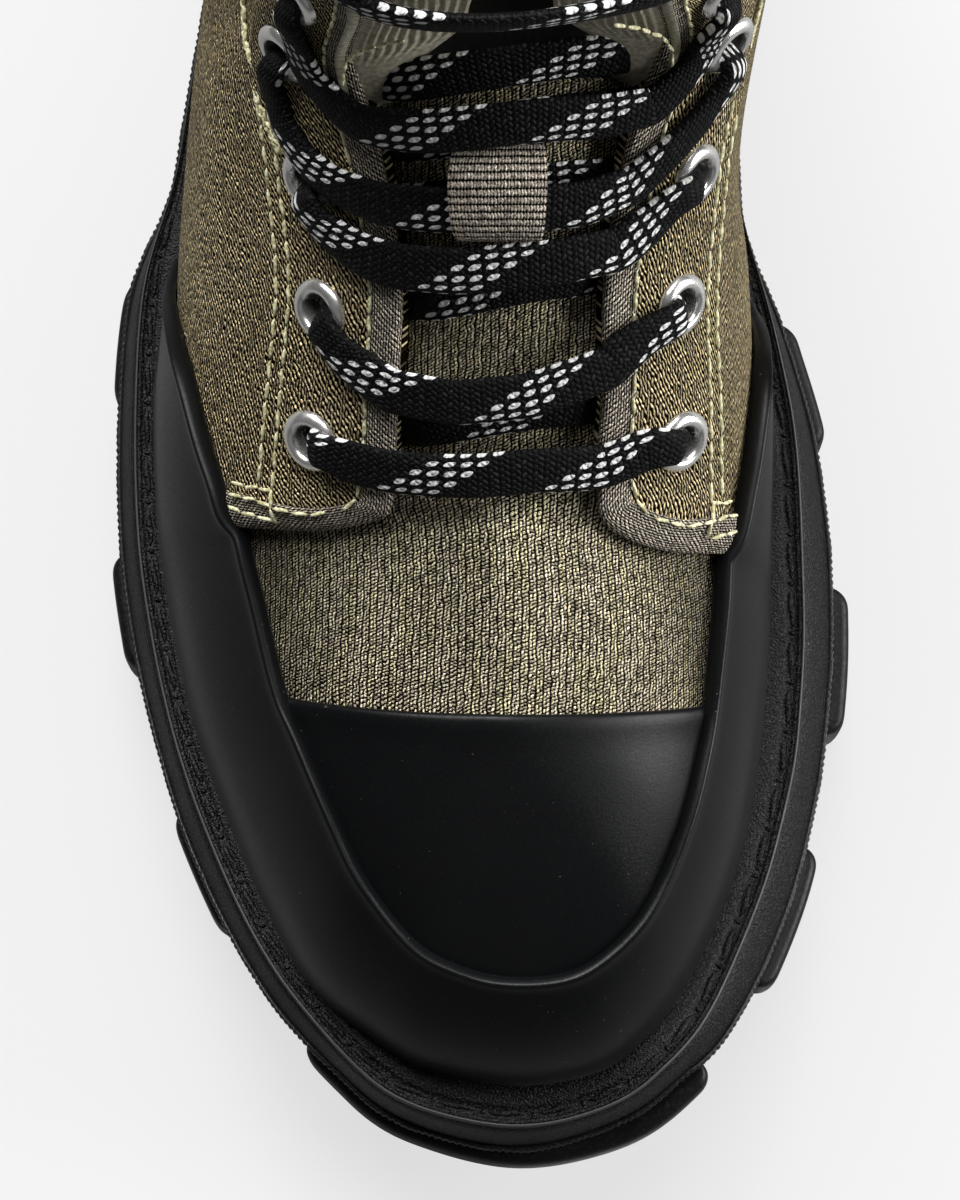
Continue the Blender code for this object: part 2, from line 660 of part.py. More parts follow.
def ridge_span(w, lift):
    """The same points under the closed vamp in front of the throat."""
    line = [off_wall(-w, d, lift) for d in (24.0, 20.3, 16.7, 13.0, 7.8, 2.6)]
    return line + [off_wall(w, d, lift) for d in (2.6, 7.8, 13.0, 16.7, 20.3, 24.0)]


def build_tongue():
    drop = -(WALL + TONGUE_CLEAR)
    rows = [ridge_span(7.3, drop), ridge_span(7.56, drop)]
    for w in TONGUE_ROWS:
        rows.append(throat_span(w, drop, min(11.0, 5.0 + 4.0 * (COLLAR_CORNER - w)), 5))
    last = rows[-1]
    for lean, rise in TONGUE_TOP:
        rows.append([point + np.array((0.0, lean, rise)) for point in last])
    under = []
    for r, row in enumerate(rows):
        line = []
        for c, point in enumerate(row):
            across = row[min(c + 1, len(row) - 1)] - row[max(c - 1, 0)]
            along = rows[min(r + 1, len(rows) - 1)][c] - rows[max(r - 1, 0)][c]
            normal = np.cross(across, along)
            line.append(point - normal / np.linalg.norm(normal) * TONGUE_THICK)
        under.append(line)
    points, faces = shell(rows, under)
    return add_solid("tongue", points, faces, "canvas")


def tube(path, sideways):
    """A flat lace along a path: six points to a section, its ends closed."""
    points = []
    faces = []
    half = LACE_WIDTH / 2.0
    thick = LACE_THICK / 2.0
    section = ((-half, 0.0), (-half * 0.62, thick), (half * 0.62, thick), (half, 0.0),
               (half * 0.62, -thick), (-half * 0.62, -thick))
    total = len(section)
    for k, point in enumerate(path):
        run = path[min(k + 1, len(path) - 1)] - path[max(k - 1, 0)]
        run = run / np.linalg.norm(run)
        up = sideways[k] / np.linalg.norm(sideways[k])
        across = np.cross(up, run)
        across = across / np.linalg.norm(across)
        up = np.cross(run, across)
        for a, b in section:
            points.append(point + across * a + up * b)
    for k in range(len(path) - 1):
        for j in range(total):
            m = (j + 1) % total
            faces.append((k * total + j, k * total + m, (k + 1) * total + m, (k + 1) * total + j))
    faces.append(tuple(reversed(range(total))))
    faces.append(tuple((len(path) - 1) * total + j for j in range(total)))
    return points, faces


def welt_edge(w):
    return RIM_LINE(wrap(w))


def from_ledge(extra):
    return lambda w: FLANGE(wrap(w)) + extra


def fixed(offset):
    return lambda w: offset


def build_welt():
    under = ("feather", -WELT_THICK)
    rings = ((fixed(WELT_INNER), under), (welt_edge, under), (welt_edge, ("feather", -0.7)),
             (lambda w: welt_edge(w) - 0.8, ("feather", 0.0)), (fixed(WELT_INNER), ("feather", 0.0)))
    points, faces = ring_frame(rings, stations(25))
    return add_solid("welt", points, faces, "sole rubber")


def build_midsole():
    seat = ("feather", -WELT_THICK - GAP)
    rings = ((from_ledge(-2.6), ("outsole", GAP)), (from_ledge(0.0), ("outsole", GAP)),
             (from_ledge(0.0), ("ledge", 0.0)), (from_ledge(-0.9), ("ledge", 0.8)),
             (lambda w: welt_edge(w) + 0.3, seat), (fixed(WELT_INNER - GAP), seat),
             (fixed(WELT_INNER - GAP), ("feather", 0.0)))
    points, faces = layer(rings, stations(25))
    return add_solid("midsole", points, faces, "sole rubber")


def build_insole():
    rings = ((fixed(INSOLE_INSET), ("feather", GAP)), (fixed(INSOLE_INSET), ("feather", GAP + INSOLE_THICK)))
    points, faces = layer(rings, stations(20))
    return add_solid("insole", points, faces, "sock")


def lug(first, last, out, columns):
    """A side lug that follows the sole's edge and hooks up under the milled edge."""
    points = []
    faces = []
    for k in range(columns):
        w = first + (last - first) * k / (columns - 1)
        blunt = 1.3 if k in (0, columns - 1) else 0.0
        reach = FLANGE(wrap(w)) + out(w) - blunt
        inner = FLANGE(wrap(w)) - LUG_DEPTH
        points.append(sole_point(w, inner, "ground"))
        points.append(sole_point(w, reach - 1.6, "ground"))
        points.append(sole_point(w, reach, "ground", 4.0))
        points.append(sole_point(w, reach, "outsole", -1.6))
        points.append(sole_point(w, reach - 1.7, "outsole"))
        points.append(sole_point(w, inner, "outsole", -3.0))
    for k in range(columns - 1):
        for j in range(6):
            m = (j + 1) % 6
            faces.append((k * 6 + j, k * 6 + m, k * 6 + 6 + m, k * 6 + 6 + j))
    faces.append((5, 4, 3, 2, 1, 0))
    faces.append(tuple((columns - 1) * 6 + j for j in range(6)))
    return points, faces


def bar(u, half):
    """A straight bar of the tread across the middle of the sole."""
    points = []
    reach = half / THROAT_PITCH
    for name, extra in (("ground", 0.0), ("slab", 3.0)):
        for w in (-u - reach, -u + reach, u - reach, u + reach):
            points.append(sole_point(w, -9.5, name, extra))
    faces = [(0, 1, 2, 3), (7, 6, 5, 4)]
    for k in range(4):
        n = (k + 1) % 4
        faces.append((k, 4 + k, 4 + n, n))
    return points, faces


def build_outsole():
    rings = ((from_ledge(-7.5), ("slab", 0.0)), (from_ledge(-2.3), ("slab", 2.6)),
             (from_ledge(-2.3), ("outsole", 0.0)))
    points, faces = layer(rings, stations(20))
    sole = add_solid("outsole", points, faces, "sole rubber")
    forms = []
    for lat_first, lat_last, lat_out, med_first, med_last, med_out in LUGS:
        forms.append(lug(-lat_last, -lat_first, fixed(lat_out), 6))
        forms.append(lug(med_first, med_last, fixed(med_out), 6))
    toe_out = Track([row[0] for row in TOE_LUG], [row[1] for row in TOE_LUG])
    forms.append(lug(TOE_LUG[0][0], TOE_LUG[-1][0], toe_out, 15))
    forms.append(lug(HEEL - HEEL_LUG[0], HEEL + HEEL_LUG[0], fixed(HEEL_LUG[1]), 7))
    for u, half in BARS:
        forms.append(bar(u, half))
    for k, (points, faces) in enumerate(forms):
        boolean(sole, add_solid("lug_%d" % k, points, faces, "sole rubber"), "UNION")
    return sole


def span_point(w, lift, a):
    """A point over the throat: a runs from 0 at the outer edge to 1 at the inner one and past both."""
    if a < 0.0:
        return off_wall(-w, -a * 10.0, lift)
    if a > 1.0:
        return off_wall(w, (a - 1.0) * 10.0, lift)
    lat = off_wall(-w, 0.0, lift)
    med = off_wall(w, 0.0, lift)
    lat_run = lat - off_wall(-w, 5.0, lift)
    med_run = off_wall(w, 5.0, lift) - med
    gap = np.linalg.norm(med - lat)
    lat_run = lat_run / np.linalg.norm(lat_run) * gap
    med_run = med_run / np.linalg.norm(med_run) * gap
    return (lat * (1 + 2 * a) * (1 - a) ** 2 + lat_run * a * (1 - a) ** 2
            + med * a * a * (3 - 2 * a) + med_run * a * a * (a - 1))


def span_up(w, lift, a):
    across = span_point(w, lift, a + 0.05) - span_point(w, lift, a - 0.05)
    along = span_point(w + 0.1, lift, a) - span_point(w - 0.1, lift, a)
    return np.cross(across, along)


def build_lace_bar():
    path = []
    ups = []
    for k in range(11):
        a = -LACE_END + (1.0 + 2.0 * LACE_END) * k / 10.0
        sag = BAR_SAG * max(0.0, 1.0 - (2.0 * a - 1.0) ** 2)
        w = EYELET_ROWS[0][0] - sag
        path.append(span_point(w, LACE_OVER, a))
        ups.append(span_up(w, LACE_OVER, a))
    points, faces = tube(path, ups)
    return add_solid("lace_bar", points, faces, "lace")


def strand(start, end, rise, under, over, flip):
    """Half of a crossing: from under one edge of the throat, over the other, up to the next row."""
    path = []
    ups = []
    for k in range(8):
        q = k / 7.0
        a = 0.1 + (0.9 + LACE_END) * q
        w = start + (end - start) * q ** 2.4
        climb = min(1.0, max(0.0, (a - rise) / (0.94 - rise)))
        lift = under + (over - under) * climb * climb * (3.0 - 2.0 * climb)
        spot = 1.0 - a if flip else a
        path.append(span_point(w, lift, spot))
        ups.append(span_up(w, lift, spot))
    if flip:
        path.reverse()
        ups.reverse()
    return tube(path, ups)


def build_crossing(k):
    start, rise, under, over = CROSSINGS[k]
    start = start + EYELET_ROWS[k][0]
    end = EYELET_ROWS[k + 1][0]
    points, faces = strand(start, end, rise, under, over, False)
    piece = add_solid("lace_cross_%d" % (k + 1), points, faces, "lace")
    points, faces = strand(start, end, rise, under, over, True)
    boolean(piece, add_solid("strand", points, faces, "lace"), "UNION")
    return piece


def build_loop():
    """Tape keeper on the tongue: a low arch that the third crossing runs through."""
    outer = []
    inner = []
    for step, lift in LOOP_ARCH:
        low = []
        high = []
        w = LOOP_STATION + step
        thin = step * LOOP_THICK / THROAT_PITCH / 0.5
        for k in range(4):
            a = 0.5 + LOOP_SHIFT + LOOP_HALF * (2.0 * k / 3.0 - 1.0)
            high.append(span_point(w, lift, a))
            drop = 0.0 if abs(step) > 0.44 else LOOP_THICK
            low.append(span_point(w - thin, lift - drop, a))
        outer.append(high)
        inner.append(low)
    points, faces = shell(outer, inner)
    return add_solid("tongue_loop", points, faces, "tape")


def eyelet_cutter(side, radius):
    points = []
    faces = []
    for row in EYELET_ROWS:
        centre, normal = eyelet_place(side, row)
        turn = Vector(normal).to_track_quat("Z", "Y").to_matrix()
        first = len(points)
        for depth in (-8.0, 4.0):
            for k in range(EYELET_SIDES):
                angle = 2.0 * math.pi * k / EYELET_SIDES
                spot = turn @ Vector((radius * math.cos(angle), radius * math.sin(angle), depth))
                points.append(centre + np.array(spot))
        for k in range(EYELET_SIDES):
            n = (k + 1) % EYELET_SIDES
            faces.append((first + k, first + n, first + EYELET_SIDES + n, first + EYELET_SIDES + k))
        faces.append(tuple(first + k for k in reversed(range(EYELET_SIDES))))
        faces.append(tuple(first + EYELET_SIDES + k for k in range(EYELET_SIDES)))
    cutter = add_solid("cutter", points, faces, "nickel")
    cutter.hide_render = True
    cutter.display_type = "WIRE"
    return cutter


def main():
    clear_scene()
    grid, normals = wall_grid()
    build_upper(grid, normals)
    build_rand(grid, normals)
    build_cap(grid, normals)
    for side, word in ((-1.0, "lateral"), (1.0, "medial")):
        stay = build_stay(side, "eyestay_" + word)
        boolean(stay, eyelet_cutter(side, EYELET_INNER), "DIFFERENCE")
        build_tape(side, "binding_" + word)
        for k, row in enumerate(EYELET_ROWS):
            build_eyelet(side, row, "eyelet_%s_%d" % (word, k + 1))
    build_tongue()
    build_loop()
    build_insole()
    build_welt()
    build_midsole()
    build_outsole()
    build_lace_bar()
    for k in range(len(EYELET_ROWS) - 1):
        build_crossing(k)
    frame = bpy.data.objects.new("boot", None)
    frame.location = (SHIFT_X * MM, SHIFT_Y * MM, 0.0)
    bpy.context.scene.collection.objects.link(frame)
    for piece in list(bpy.context.scene.objects):
        if piece.type == "MESH":
            piece.parent = frame


main()
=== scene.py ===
# %% [markdown]
# # Lug sole ankle boot
# The boot is a canvas upper on a thick rubber sole: a plain vamp that runs on into the tongue, two
# quarters laced over it, a rubber toe cap and a rubber rand, and a lugged outsole. Everything here
# is dressed over the CAD part, in the same frame, so the part is loaded before anything else.

# %% Load the part
import functools
import json
import math

import bpy
import numpy as np
from mathutils import Matrix, Vector
from mathutils.bvhtree import BVHTree
from mathutils.kdtree import KDTree

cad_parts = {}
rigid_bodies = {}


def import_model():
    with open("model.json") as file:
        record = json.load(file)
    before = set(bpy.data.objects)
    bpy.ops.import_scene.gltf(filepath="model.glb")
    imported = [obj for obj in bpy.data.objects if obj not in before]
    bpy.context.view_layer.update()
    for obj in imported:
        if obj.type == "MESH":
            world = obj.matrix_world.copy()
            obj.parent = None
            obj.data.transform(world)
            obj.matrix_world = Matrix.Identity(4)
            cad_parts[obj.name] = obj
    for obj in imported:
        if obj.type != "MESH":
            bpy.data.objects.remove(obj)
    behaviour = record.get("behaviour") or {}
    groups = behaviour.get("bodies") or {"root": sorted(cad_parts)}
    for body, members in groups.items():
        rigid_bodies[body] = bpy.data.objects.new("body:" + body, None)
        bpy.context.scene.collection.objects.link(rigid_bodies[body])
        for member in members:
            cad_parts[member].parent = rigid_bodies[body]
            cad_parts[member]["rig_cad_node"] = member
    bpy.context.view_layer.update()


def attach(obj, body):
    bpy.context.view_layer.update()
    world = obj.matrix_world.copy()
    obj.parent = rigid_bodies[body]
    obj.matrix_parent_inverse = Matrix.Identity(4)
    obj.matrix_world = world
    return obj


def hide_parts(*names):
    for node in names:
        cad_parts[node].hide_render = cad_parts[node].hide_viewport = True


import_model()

MM = 0.001
SHIFT = np.array((-0.41, 1.72, 0.0))

# %% [markdown]
# ## The last
# A shoe takes its shape from a last, and every panel is a piece of one surface. The last is kept
# here as two short tables of stations from toe (0) to heel (18): the feather line where upper and
# sole meet, and the top of each section. A third table gives the height of the rand. Stations on
# the outer side are negative.

# %% Tables of the last
SOLE_NAMES = ("u", "lat_x", "lat_y", "med_x", "med_y", "lat_flange", "med_flange",
              "feather", "ledge", "outsole", "ground")
SOLE = (
    (0, 10.0, -129.1, 10.0, -129.1, 13.6, 13.6, 43.0, 32.0, 27.5, 11.5),
    (1, -1.0, -127.9, 20.5, -126.8, 12.8, 12.4, 42.6, 31.6, 27.1, 10.8),
    (2, -8.6, -124.1, 25.0, -123.2, 11.5, 12.3, 41.8, 30.8, 26.3, 9.4),
    (3, -16.1, -118.4, 28.6, -118.4, 10.5, 13.5, 40.5, 29.5, 25.0, 7.5),
    (4, -23.0, -107.7, 33.6, -107.5, 11.3, 13.9, 38.0, 27.0, 22.5, 3.6),
    (5, -29.9, -93.9, 37.3, -94.4, 11.7, 14.1, 36.3, 24.8, 20.4, 0.8),
    (6, -35.0, -82.0, 38.9, -80.0, 11.2, 14.6, 35.4, 23.6, 19.3, 0.0),
    (7, -39.2, -67.4, 39.1, -68.0, 11.4, 14.9, 35.0, 23.0, 19.0, 0.0),
    (8, -42.0, -54.0, 38.8, -54.0, 11.2, 14.4, 35.0, 23.0, 19.0, 0.0),
    (9, -43.7, -38.0, 38.3, -38.0, 10.8, 12.2, 36.0, 23.6, 19.5, 0.0),
    (10, -44.6, -20.0, 36.2, -20.0, 9.7, 8.3, 37.6, 25.0, 20.8, 0.0),
    (11, -43.8, 0.0, 33.2, 0.0, 4.5, 3.5, 39.6, 27.0, 22.6, 3.0),
    (12, -41.8, 22.0, 31.4, 22.0, 4.2, 3.6, 41.6, 29.0, 24.5, 3.0),
    (13, -38.2, 48.0, 31.0, 48.0, 5.2, 4.4, 43.6, 31.0, 26.3, 0.0),
    (14, -35.4, 76.0, 30.0, 76.0, 5.8, 5.4, 45.0, 32.4, 27.6, 0.0),
    (15, -31.0, 101.0, 26.5, 101.0, 6.2, 6.0, 45.8, 33.2, 28.3, 0.0),
    (16, -23.5, 120.0, 19.5, 120.0, 6.6, 6.6, 46.0, 33.5, 28.5, 0.0),
    (17, -13.5, 129.2, 9.5, 129.2, 7.0, 7.0, 46.0, 33.5, 28.5, 0.6),
    (18, -2.0, 132.2, -2.0, 132.2, 7.0, 7.0, 46.0, 33.5, 28.5, 1.0),
)
UPPER_NAMES = ("u", "lat_x", "lat_y", "med_x", "med_y", "top", "lean", "base_pull",
               "turn", "drop", "top_pull")
UPPER = (
    (0.0, 5.0, -84.6, 5.0, -84.6, 79.0, 18.0, 17.0, -84.0, 23.0, 25.0),
    (2.0, 5.0, -84.6, 5.0, -84.6, 79.0, 15.0, 18.0, -62.0, 20.0, 24.0),
    (4.0, 5.0, -84.6, 5.0, -84.6, 79.0, 12.0, 21.0, -32.0, 15.0, 23.0),
    (6.0, 5.0, -84.6, 5.0, -84.6, 79.0, 9.0, 25.0, 0.0, 10.0, 22.0),
    (7.0, 4.6, -70.5, 4.6, -70.5, 84.4, 9.0, 27.0, 0.0, 11.0, 22.0),
    (7.6, 3.4, -59.0, 3.4, -59.0, 89.0, 8.0, 28.0, 0.0, 12.0, 22.0),
    (7.9, -10.6, -56.4, 16.4, -54.4, 87.2, 8.0, 28.0, 0.0, 20.0, 17.0),
    (8.6, -10.9, -46.5, 16.4, -43.0, 95.0, 8.0, 30.0, 2.0, 24.0, 17.0),
    (9.5, -10.8, -32.5, 15.6, -28.5, 106.5, 8.0, 32.0, 4.0, 28.0, 18.0),
    (10.5, -14.2, -16.6, 17.4, -12.4, 119.0, 8.0, 34.0, 6.0, 31.0, 19.0),
    (11.5, -18.6, -4.4, 21.4, 0.6, 134.0, 8.0, 34.0, 10.0, 33.0, 20.0),
    (12.3, -16.6, -3.0, 19.6, 1.2, 150.0, 8.0, 36.0, 16.0, 27.0, 24.0),
    (13.0, -16.0, -2.0, 18.8, 1.2, 165.0, 7.0, 38.0, 24.0, 25.0, 26.0),
    (13.6, -16.5, -0.5, 19.0, 2.0, 173.0, 7.0, 40.0, 30.0, 34.0, 28.0),
    (14.3, -29.0, 10.0, 28.5, 11.0, 172.0, 7.0, 40.0, 48.0, 66.0, 34.0),
    (15.0, -36.5, 36.0, 33.0, 36.0, 170.0, 7.0, 40.0, 60.0, 86.0, 44.0),
    (16.0, -33.0, 77.0, 28.0, 77.0, 173.0, 8.0, 40.0, 60.0, 88.0, 52.0),
    (17.0, -19.0, 101.5, 14.2, 101.5, 176.5, 10.0, 39.0, 75.0, 89.0, 58.0),
    (18.0, -2.6, 109.0, -2.6, 109.0, 178.0, 11.0, 38.0, 90.0, 89.0, 62.0),
)
RAND_NAMES = ("u", "lat", "med")
RAND = ((0.0, 23.8, 23.8), (1.0, 25.0, 23.5), (2.0, 27.0, 24.0), (3.0, 30.0, 25.0), (4.0, 32.3, 27.0),
        (5.0, 33.7, 28.8), (6.0, 34.5, 29.7), (7.0, 35.3, 31.6), (8.0, 35.5, 33.0), (8.5, 34.0, 32.5),
        (9.0, 31.0, 31.0), (9.5, 24.0, 26.0), (9.8, 16.0, 18.0), (10.2, 4.0, 4.0), (11.0, 8.0, 8.0),
        (12.0, 16.0, 16.0), (13.0, 24.0, 24.0), (18.0, 30.0, 30.0))
RIM = ((0.0, 10.5, 10.5), (1.0, 10.0, 9.7), (2.0, 8.9, 9.4), (3.0, 7.4, 9.6), (4.0, 8.1, 9.15),
       (5.0, 8.3, 9.3), (6.0, 8.0, 9.9), (7.0, 7.95, 9.9), (8.0, 7.75, 9.3), (9.0, 7.4, 8.1),
       (10.0, 6.5, 5.6), (11.0, 2.9, 2.3), (12.0, 2.7, 2.3), (13.0, 3.3, 2.8), (14.0, 3.7, 3.45),
       (15.0, 4.0, 3.85), (16.0, 4.2, 4.2), (17.0, 4.5, 4.5), (18.0, 4.5, 4.5))
EYELET_STATIONS = (8.45, 9.45, 10.4, 11.4, 12.25, 13.0)
SIDES = ((-1.0, "lateral"), (1.0, "medial"))
HEEL = 18.0
GAP, OVER_GAP, WALL, STAY_THICK, STAY_WIDTH = 0.3, 0.55, 1.8, 1.2, 23.0
TAPE_WIDTH, THROAT_FRONT, THROAT_CORNER, STAY_TOP = 4.6, 7.6, 7.9, 13.5
THROAT_PITCH, EYELET_INSET, RAND_END = 17.0, 13.0, 10.2
print("last:", len(SOLE), "sole stations,", len(UPPER), "upper sections")


# %% [markdown]
# A shoemaker marks a last with lines and blends between them by eye. The tables are read as smooth
# tracks that never overshoot their points, so that no bulge appears which the tables do not hold.

# %% Tracks of the last
def track_of(x, y):
    x, y = np.array(x, float), np.array(y, float)
    step = np.diff(x)
    rise = np.diff(y) / step
    slope = np.zeros(len(x))
    slope[0], slope[-1] = rise[0], rise[-1]
    for k in range(1, len(x) - 1):
        if rise[k - 1] * rise[k] > 0.0:
            first, second = 2.0 * step[k] + step[k - 1], step[k] + 2.0 * step[k - 1]
            slope[k] = (first + second) / (first / rise[k - 1] + second / rise[k])

    def read(at):
        k = int(np.clip(np.searchsorted(x, at) - 1, 0, len(x) - 2))
        t = (at - x[k]) / step[k]
        return float(y[k] * (1 + 2 * t) * (1 - t) ** 2 + slope[k] * step[k] * t * (1 - t) ** 2
                     + y[k + 1] * t * t * (3 - 2 * t) + slope[k + 1] * step[k] * t * t * (t - 1))
    return read


def round_foot(table, names, lateral, medial):
    u = [row[0] for row in table]
    lat = [row[names.index(lateral)] for row in table]
    med = [row[names.index(medial)] for row in table]
    past = 2.0 * HEEL - u[-2]
    return track_of([-past] + [-s for s in reversed(u)] + u[1:] + [past],
                    [med[-2]] + list(reversed(lat)) + med[1:] + [lat[-2]])


feather_x = round_foot(SOLE, SOLE_NAMES, "lat_x", "med_x")
feather_y = round_foot(SOLE, SOLE_NAMES, "lat_y", "med_y")
flange_at = round_foot(SOLE, SOLE_NAMES, "lat_flange", "med_flange")
foot_y = [0.5 * (row[2] + row[4]) for row in SOLE]
layer_at = {n: track_of(foot_y, [row[SOLE_NAMES.index(n)] for row in SOLE]) for n in SOLE_NAMES[7:]}
top_x = round_foot(UPPER, UPPER_NAMES, "lat_x", "med_x")
top_y = round_foot(UPPER, UPPER_NAMES, "lat_y", "med_y")
shape_at = {n: round_foot(UPPER, UPPER_NAMES, n, n) for n in UPPER_NAMES[5:]}
rand_at = round_foot(RAND, RAND_NAMES, "lat", "med")
rim_at = round_foot(RIM, RAND_NAMES, "lat", "med")
print(len(layer_at), "layers of the sole,", len(shape_at), "shapes of the wall")


# %% [markdown]
# The sole grows outwards from the feather line, where the upper meets it. A place on it is a
# station, an offset from that line and a layer, which gives the height at that length of the foot.

# %% Places on the sole
def soft(x, a, b):
    """A smooth step from 0 at a to 1 at b."""
    t = min(1.0, max(0.0, (x - a) / (b - a)))
    return t * t * (3.0 - 2.0 * t)


def wrap(w):
    return w - 2.0 * HEEL if w > HEEL else (w + 2.0 * HEEL if w < -HEEL else w)


def feather(w):
    return np.array((feather_x(wrap(w)), feather_y(wrap(w))))


def outward(w):
    along = feather(w + 0.12) - feather(w - 0.12)
    return np.array((along[1], -along[0])) / np.linalg.norm(along)


def layer_height(name, y):
    return layer_at[name](min(max(y, foot_y[0]), foot_y[-1]))


def sole_spot(w, offset, name, extra=0.0):
    plan = feather(w) + outward(w) * offset
    return np.array((plan[0], plan[1], layer_height(name, plan[1]) + extra))


def flange(w):
    return flange_at(wrap(w))


def run_along(points):
    """Distance along a row of points, from 0 at the first."""
    steps = np.linalg.norm(np.diff(points, axis=0), axis=1)
    return np.concatenate(([0.0], np.cumsum(steps)))


print("feather line", round(feather_y(HEEL) - feather_y(0.0), 1), "mm long")


# %% [markdown]
# The wall between the feather line and the top is one curve per station. From here on a place on
# the upper is a station, a distance down from the top and a lift off the wall. Across the throat,
# where there is no wall, a curve bridges its two edges.

# %% Places on the wall
def top_spot(w):
    plan = np.array((top_x(w), top_y(w)))
    if abs(w) <= THROAT_FRONT:
        plan = 0.5 * (plan + np.array((top_x(-w), top_y(-w))))
    return np.array((plan[0], plan[1], shape_at["top"](w)))


@functools.lru_cache(maxsize=None)
def section(w):
    plan, out = feather(w), outward(w)
    base = np.array((plan[0], plan[1], layer_height("feather", plan[1]) + GAP))
    lean = math.radians(shape_at["lean"](w))
    rise = np.array((out[0] * math.sin(lean), out[1] * math.sin(lean), math.cos(lean)))
    top = top_spot(w)
    side = 1.0 if w >= 0.0 else -1.0
    turn = -math.pi / 2.0 if abs(w) < 0.01 else math.radians(shape_at["turn"](w))
    drop = math.radians(shape_at["drop"](w))
    fall = np.array((side * math.cos(turn) * math.cos(drop), math.sin(turn) * math.cos(drop),
                     -math.sin(drop)))
    low, high = base + rise * shape_at["base_pull"](w), top + fall * shape_at["top_pull"](w)
    t = np.linspace(0.0, 1.0, 61)[:, None]
    curve = base * (1 - t) ** 3 + low * 3 * t * (1 - t) ** 2 + high * 3 * t * t * (1 - t) + top * t ** 3
    return curve, run_along(curve)


def wall_length(w):
    return section(wrap(round(w, 4)))[1][-1]


def below_top(w, distance):
    curve, length = section(wrap(round(w, 4)))
    at = length[-1] - distance
    return np.array([np.interp(at, length, curve[:, k]) for k in range(3)])


def wall_normal(w, distance):
    across = below_top(w, max(distance - 1.0, 0.0)) - below_top(w, distance + 1.0)
    along = below_top(w + 0.1, distance) - below_top(w - 0.1, distance)
    normal = np.cross(along, across)
    return normal / np.linalg.norm(normal)


def off_wall(w, distance, lift):
    return below_top(w, distance) + wall_normal(w, distance) * lift


def over_throat(w, lift, a):
    """Across the throat: a is 0 at the outer edge, 1 at the inner one, then 10 mm to a unit."""
    if a < 0.0:
        return off_wall(-w, -a * 10.0, lift)
    if a > 1.0:
        return off_wall(w, (a - 1.0) * 10.0, lift)
    lat, med = off_wall(-w, 0.0, lift), off_wall(w, 0.0, lift)
    gap = np.linalg.norm(med - lat)
    lat_run, med_run = lat - off_wall(-w, 5.0, lift), off_wall(w, 5.0, lift) - med
    lat_run = lat_run / np.linalg.norm(lat_run) * gap
    med_run = med_run / np.linalg.norm(med_run) * gap
    return (lat * (1 + 2 * a) * (1 - a) ** 2 + lat_run * a * (1 - a) ** 2
            + med * a * a * (3 - 2 * a) + med_run * a * a * (a - 1))


print("instep height", round(float(top_spot(9.5)[2]), 1), "mm")


# %% [markdown]
# ## Tools of the bench
# Panels of a shoe are cut flat and pulled over the last. Here too: a flat grid is added as a
# primitive, its vertices are laid on the surface, and subdivision, solidify and bevel modifiers
# give it the drape, the thickness and the worn edge of the real panel.

# %% Panel tools
def only(piece):
    bpy.ops.object.select_all(action="DESELECT")
    piece.select_set(True)
    bpy.context.view_layer.objects.active = piece


def lay(name, points, uv=None, flip=False):
    """Lays a flat grid on rows of points in millimetres; its UV map is in millimetres too."""
    points = np.asarray(points, float)
    rows, columns = points.shape[:2]
    bpy.ops.object.select_all(action="DESELECT")
    bpy.ops.mesh.primitive_grid_add(x_subdivisions=columns - 1, y_subdivisions=rows - 1, size=2)
    piece = bpy.context.object
    piece.name = name
    flat = np.empty(len(piece.data.vertices) * 3)
    piece.data.vertices.foreach_get("co", flat)
    flat = flat.reshape(-1, 3)
    c = np.rint((flat[:, 0] + 1.0) / 2.0 * (columns - 1)).astype(int)
    r = np.rint((flat[:, 1] + 1.0) / 2.0 * (rows - 1)).astype(int)
    piece.data.vertices.foreach_set("co", ((points[r, c] + SHIFT) * MM).ravel())
    if uv is not None:
        uv = np.asarray(uv, float)
        corner = np.empty(len(piece.data.loops), dtype=np.int32)
        piece.data.loops.foreach_get("vertex_index", corner)
        piece.data.uv_layers[0].data.foreach_set("uv", uv[r[corner], c[corner]].ravel())
    if flip:
        piece.data.flip_normals()
    piece.data.update()
    return piece


def weld(piece, distance=0.02):
    only(piece)
    bpy.ops.object.mode_set(mode="EDIT")
    bpy.ops.mesh.select_all(action="SELECT")
    bpy.ops.mesh.remove_doubles(threshold=distance * MM)
    bpy.ops.object.mode_set(mode="OBJECT")
    return piece


def change(piece, kind, **values):
    only(piece)
    step = piece.modifiers.new(kind.lower(), kind)
    for key, value in values.items():
        setattr(step, key, value)
    bpy.ops.object.modifier_apply(modifier=step.name)
    return piece


def smooth(piece, levels):
    return change(piece, "SUBSURF", levels=levels, render_levels=levels, uv_smooth="PRESERVE_BOUNDARIES")


def thicken(piece, thick, edge=0.0):
    change(piece, "SOLIDIFY", thickness=thick * MM, offset=-1.0)
    if edge:
        change(piece, "BEVEL", width=edge * MM, segments=2, limit_method="ANGLE",
               angle_limit=math.radians(50))
    return piece


print("panel tools ready")


# %% [markdown]
# A finished panel is coloured and set on the boot, and the solids that it stands for are hidden.
# Eyelet holes are punched after a panel is laid, because a punched grid could not be subdivided.

# %% Dressing and punching
def dress(piece, material, slot, *nodes):
    """Paints a finished piece, puts it on the boot and hides the solids it stands for."""
    piece.data.materials.clear()
    piece.data.materials.append(material)
    only(piece)
    bpy.ops.object.shade_smooth()
    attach(piece, "root")
    if nodes:
        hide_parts(*nodes)
    print(piece.name, len(piece.data.polygons), "faces")
    return piece


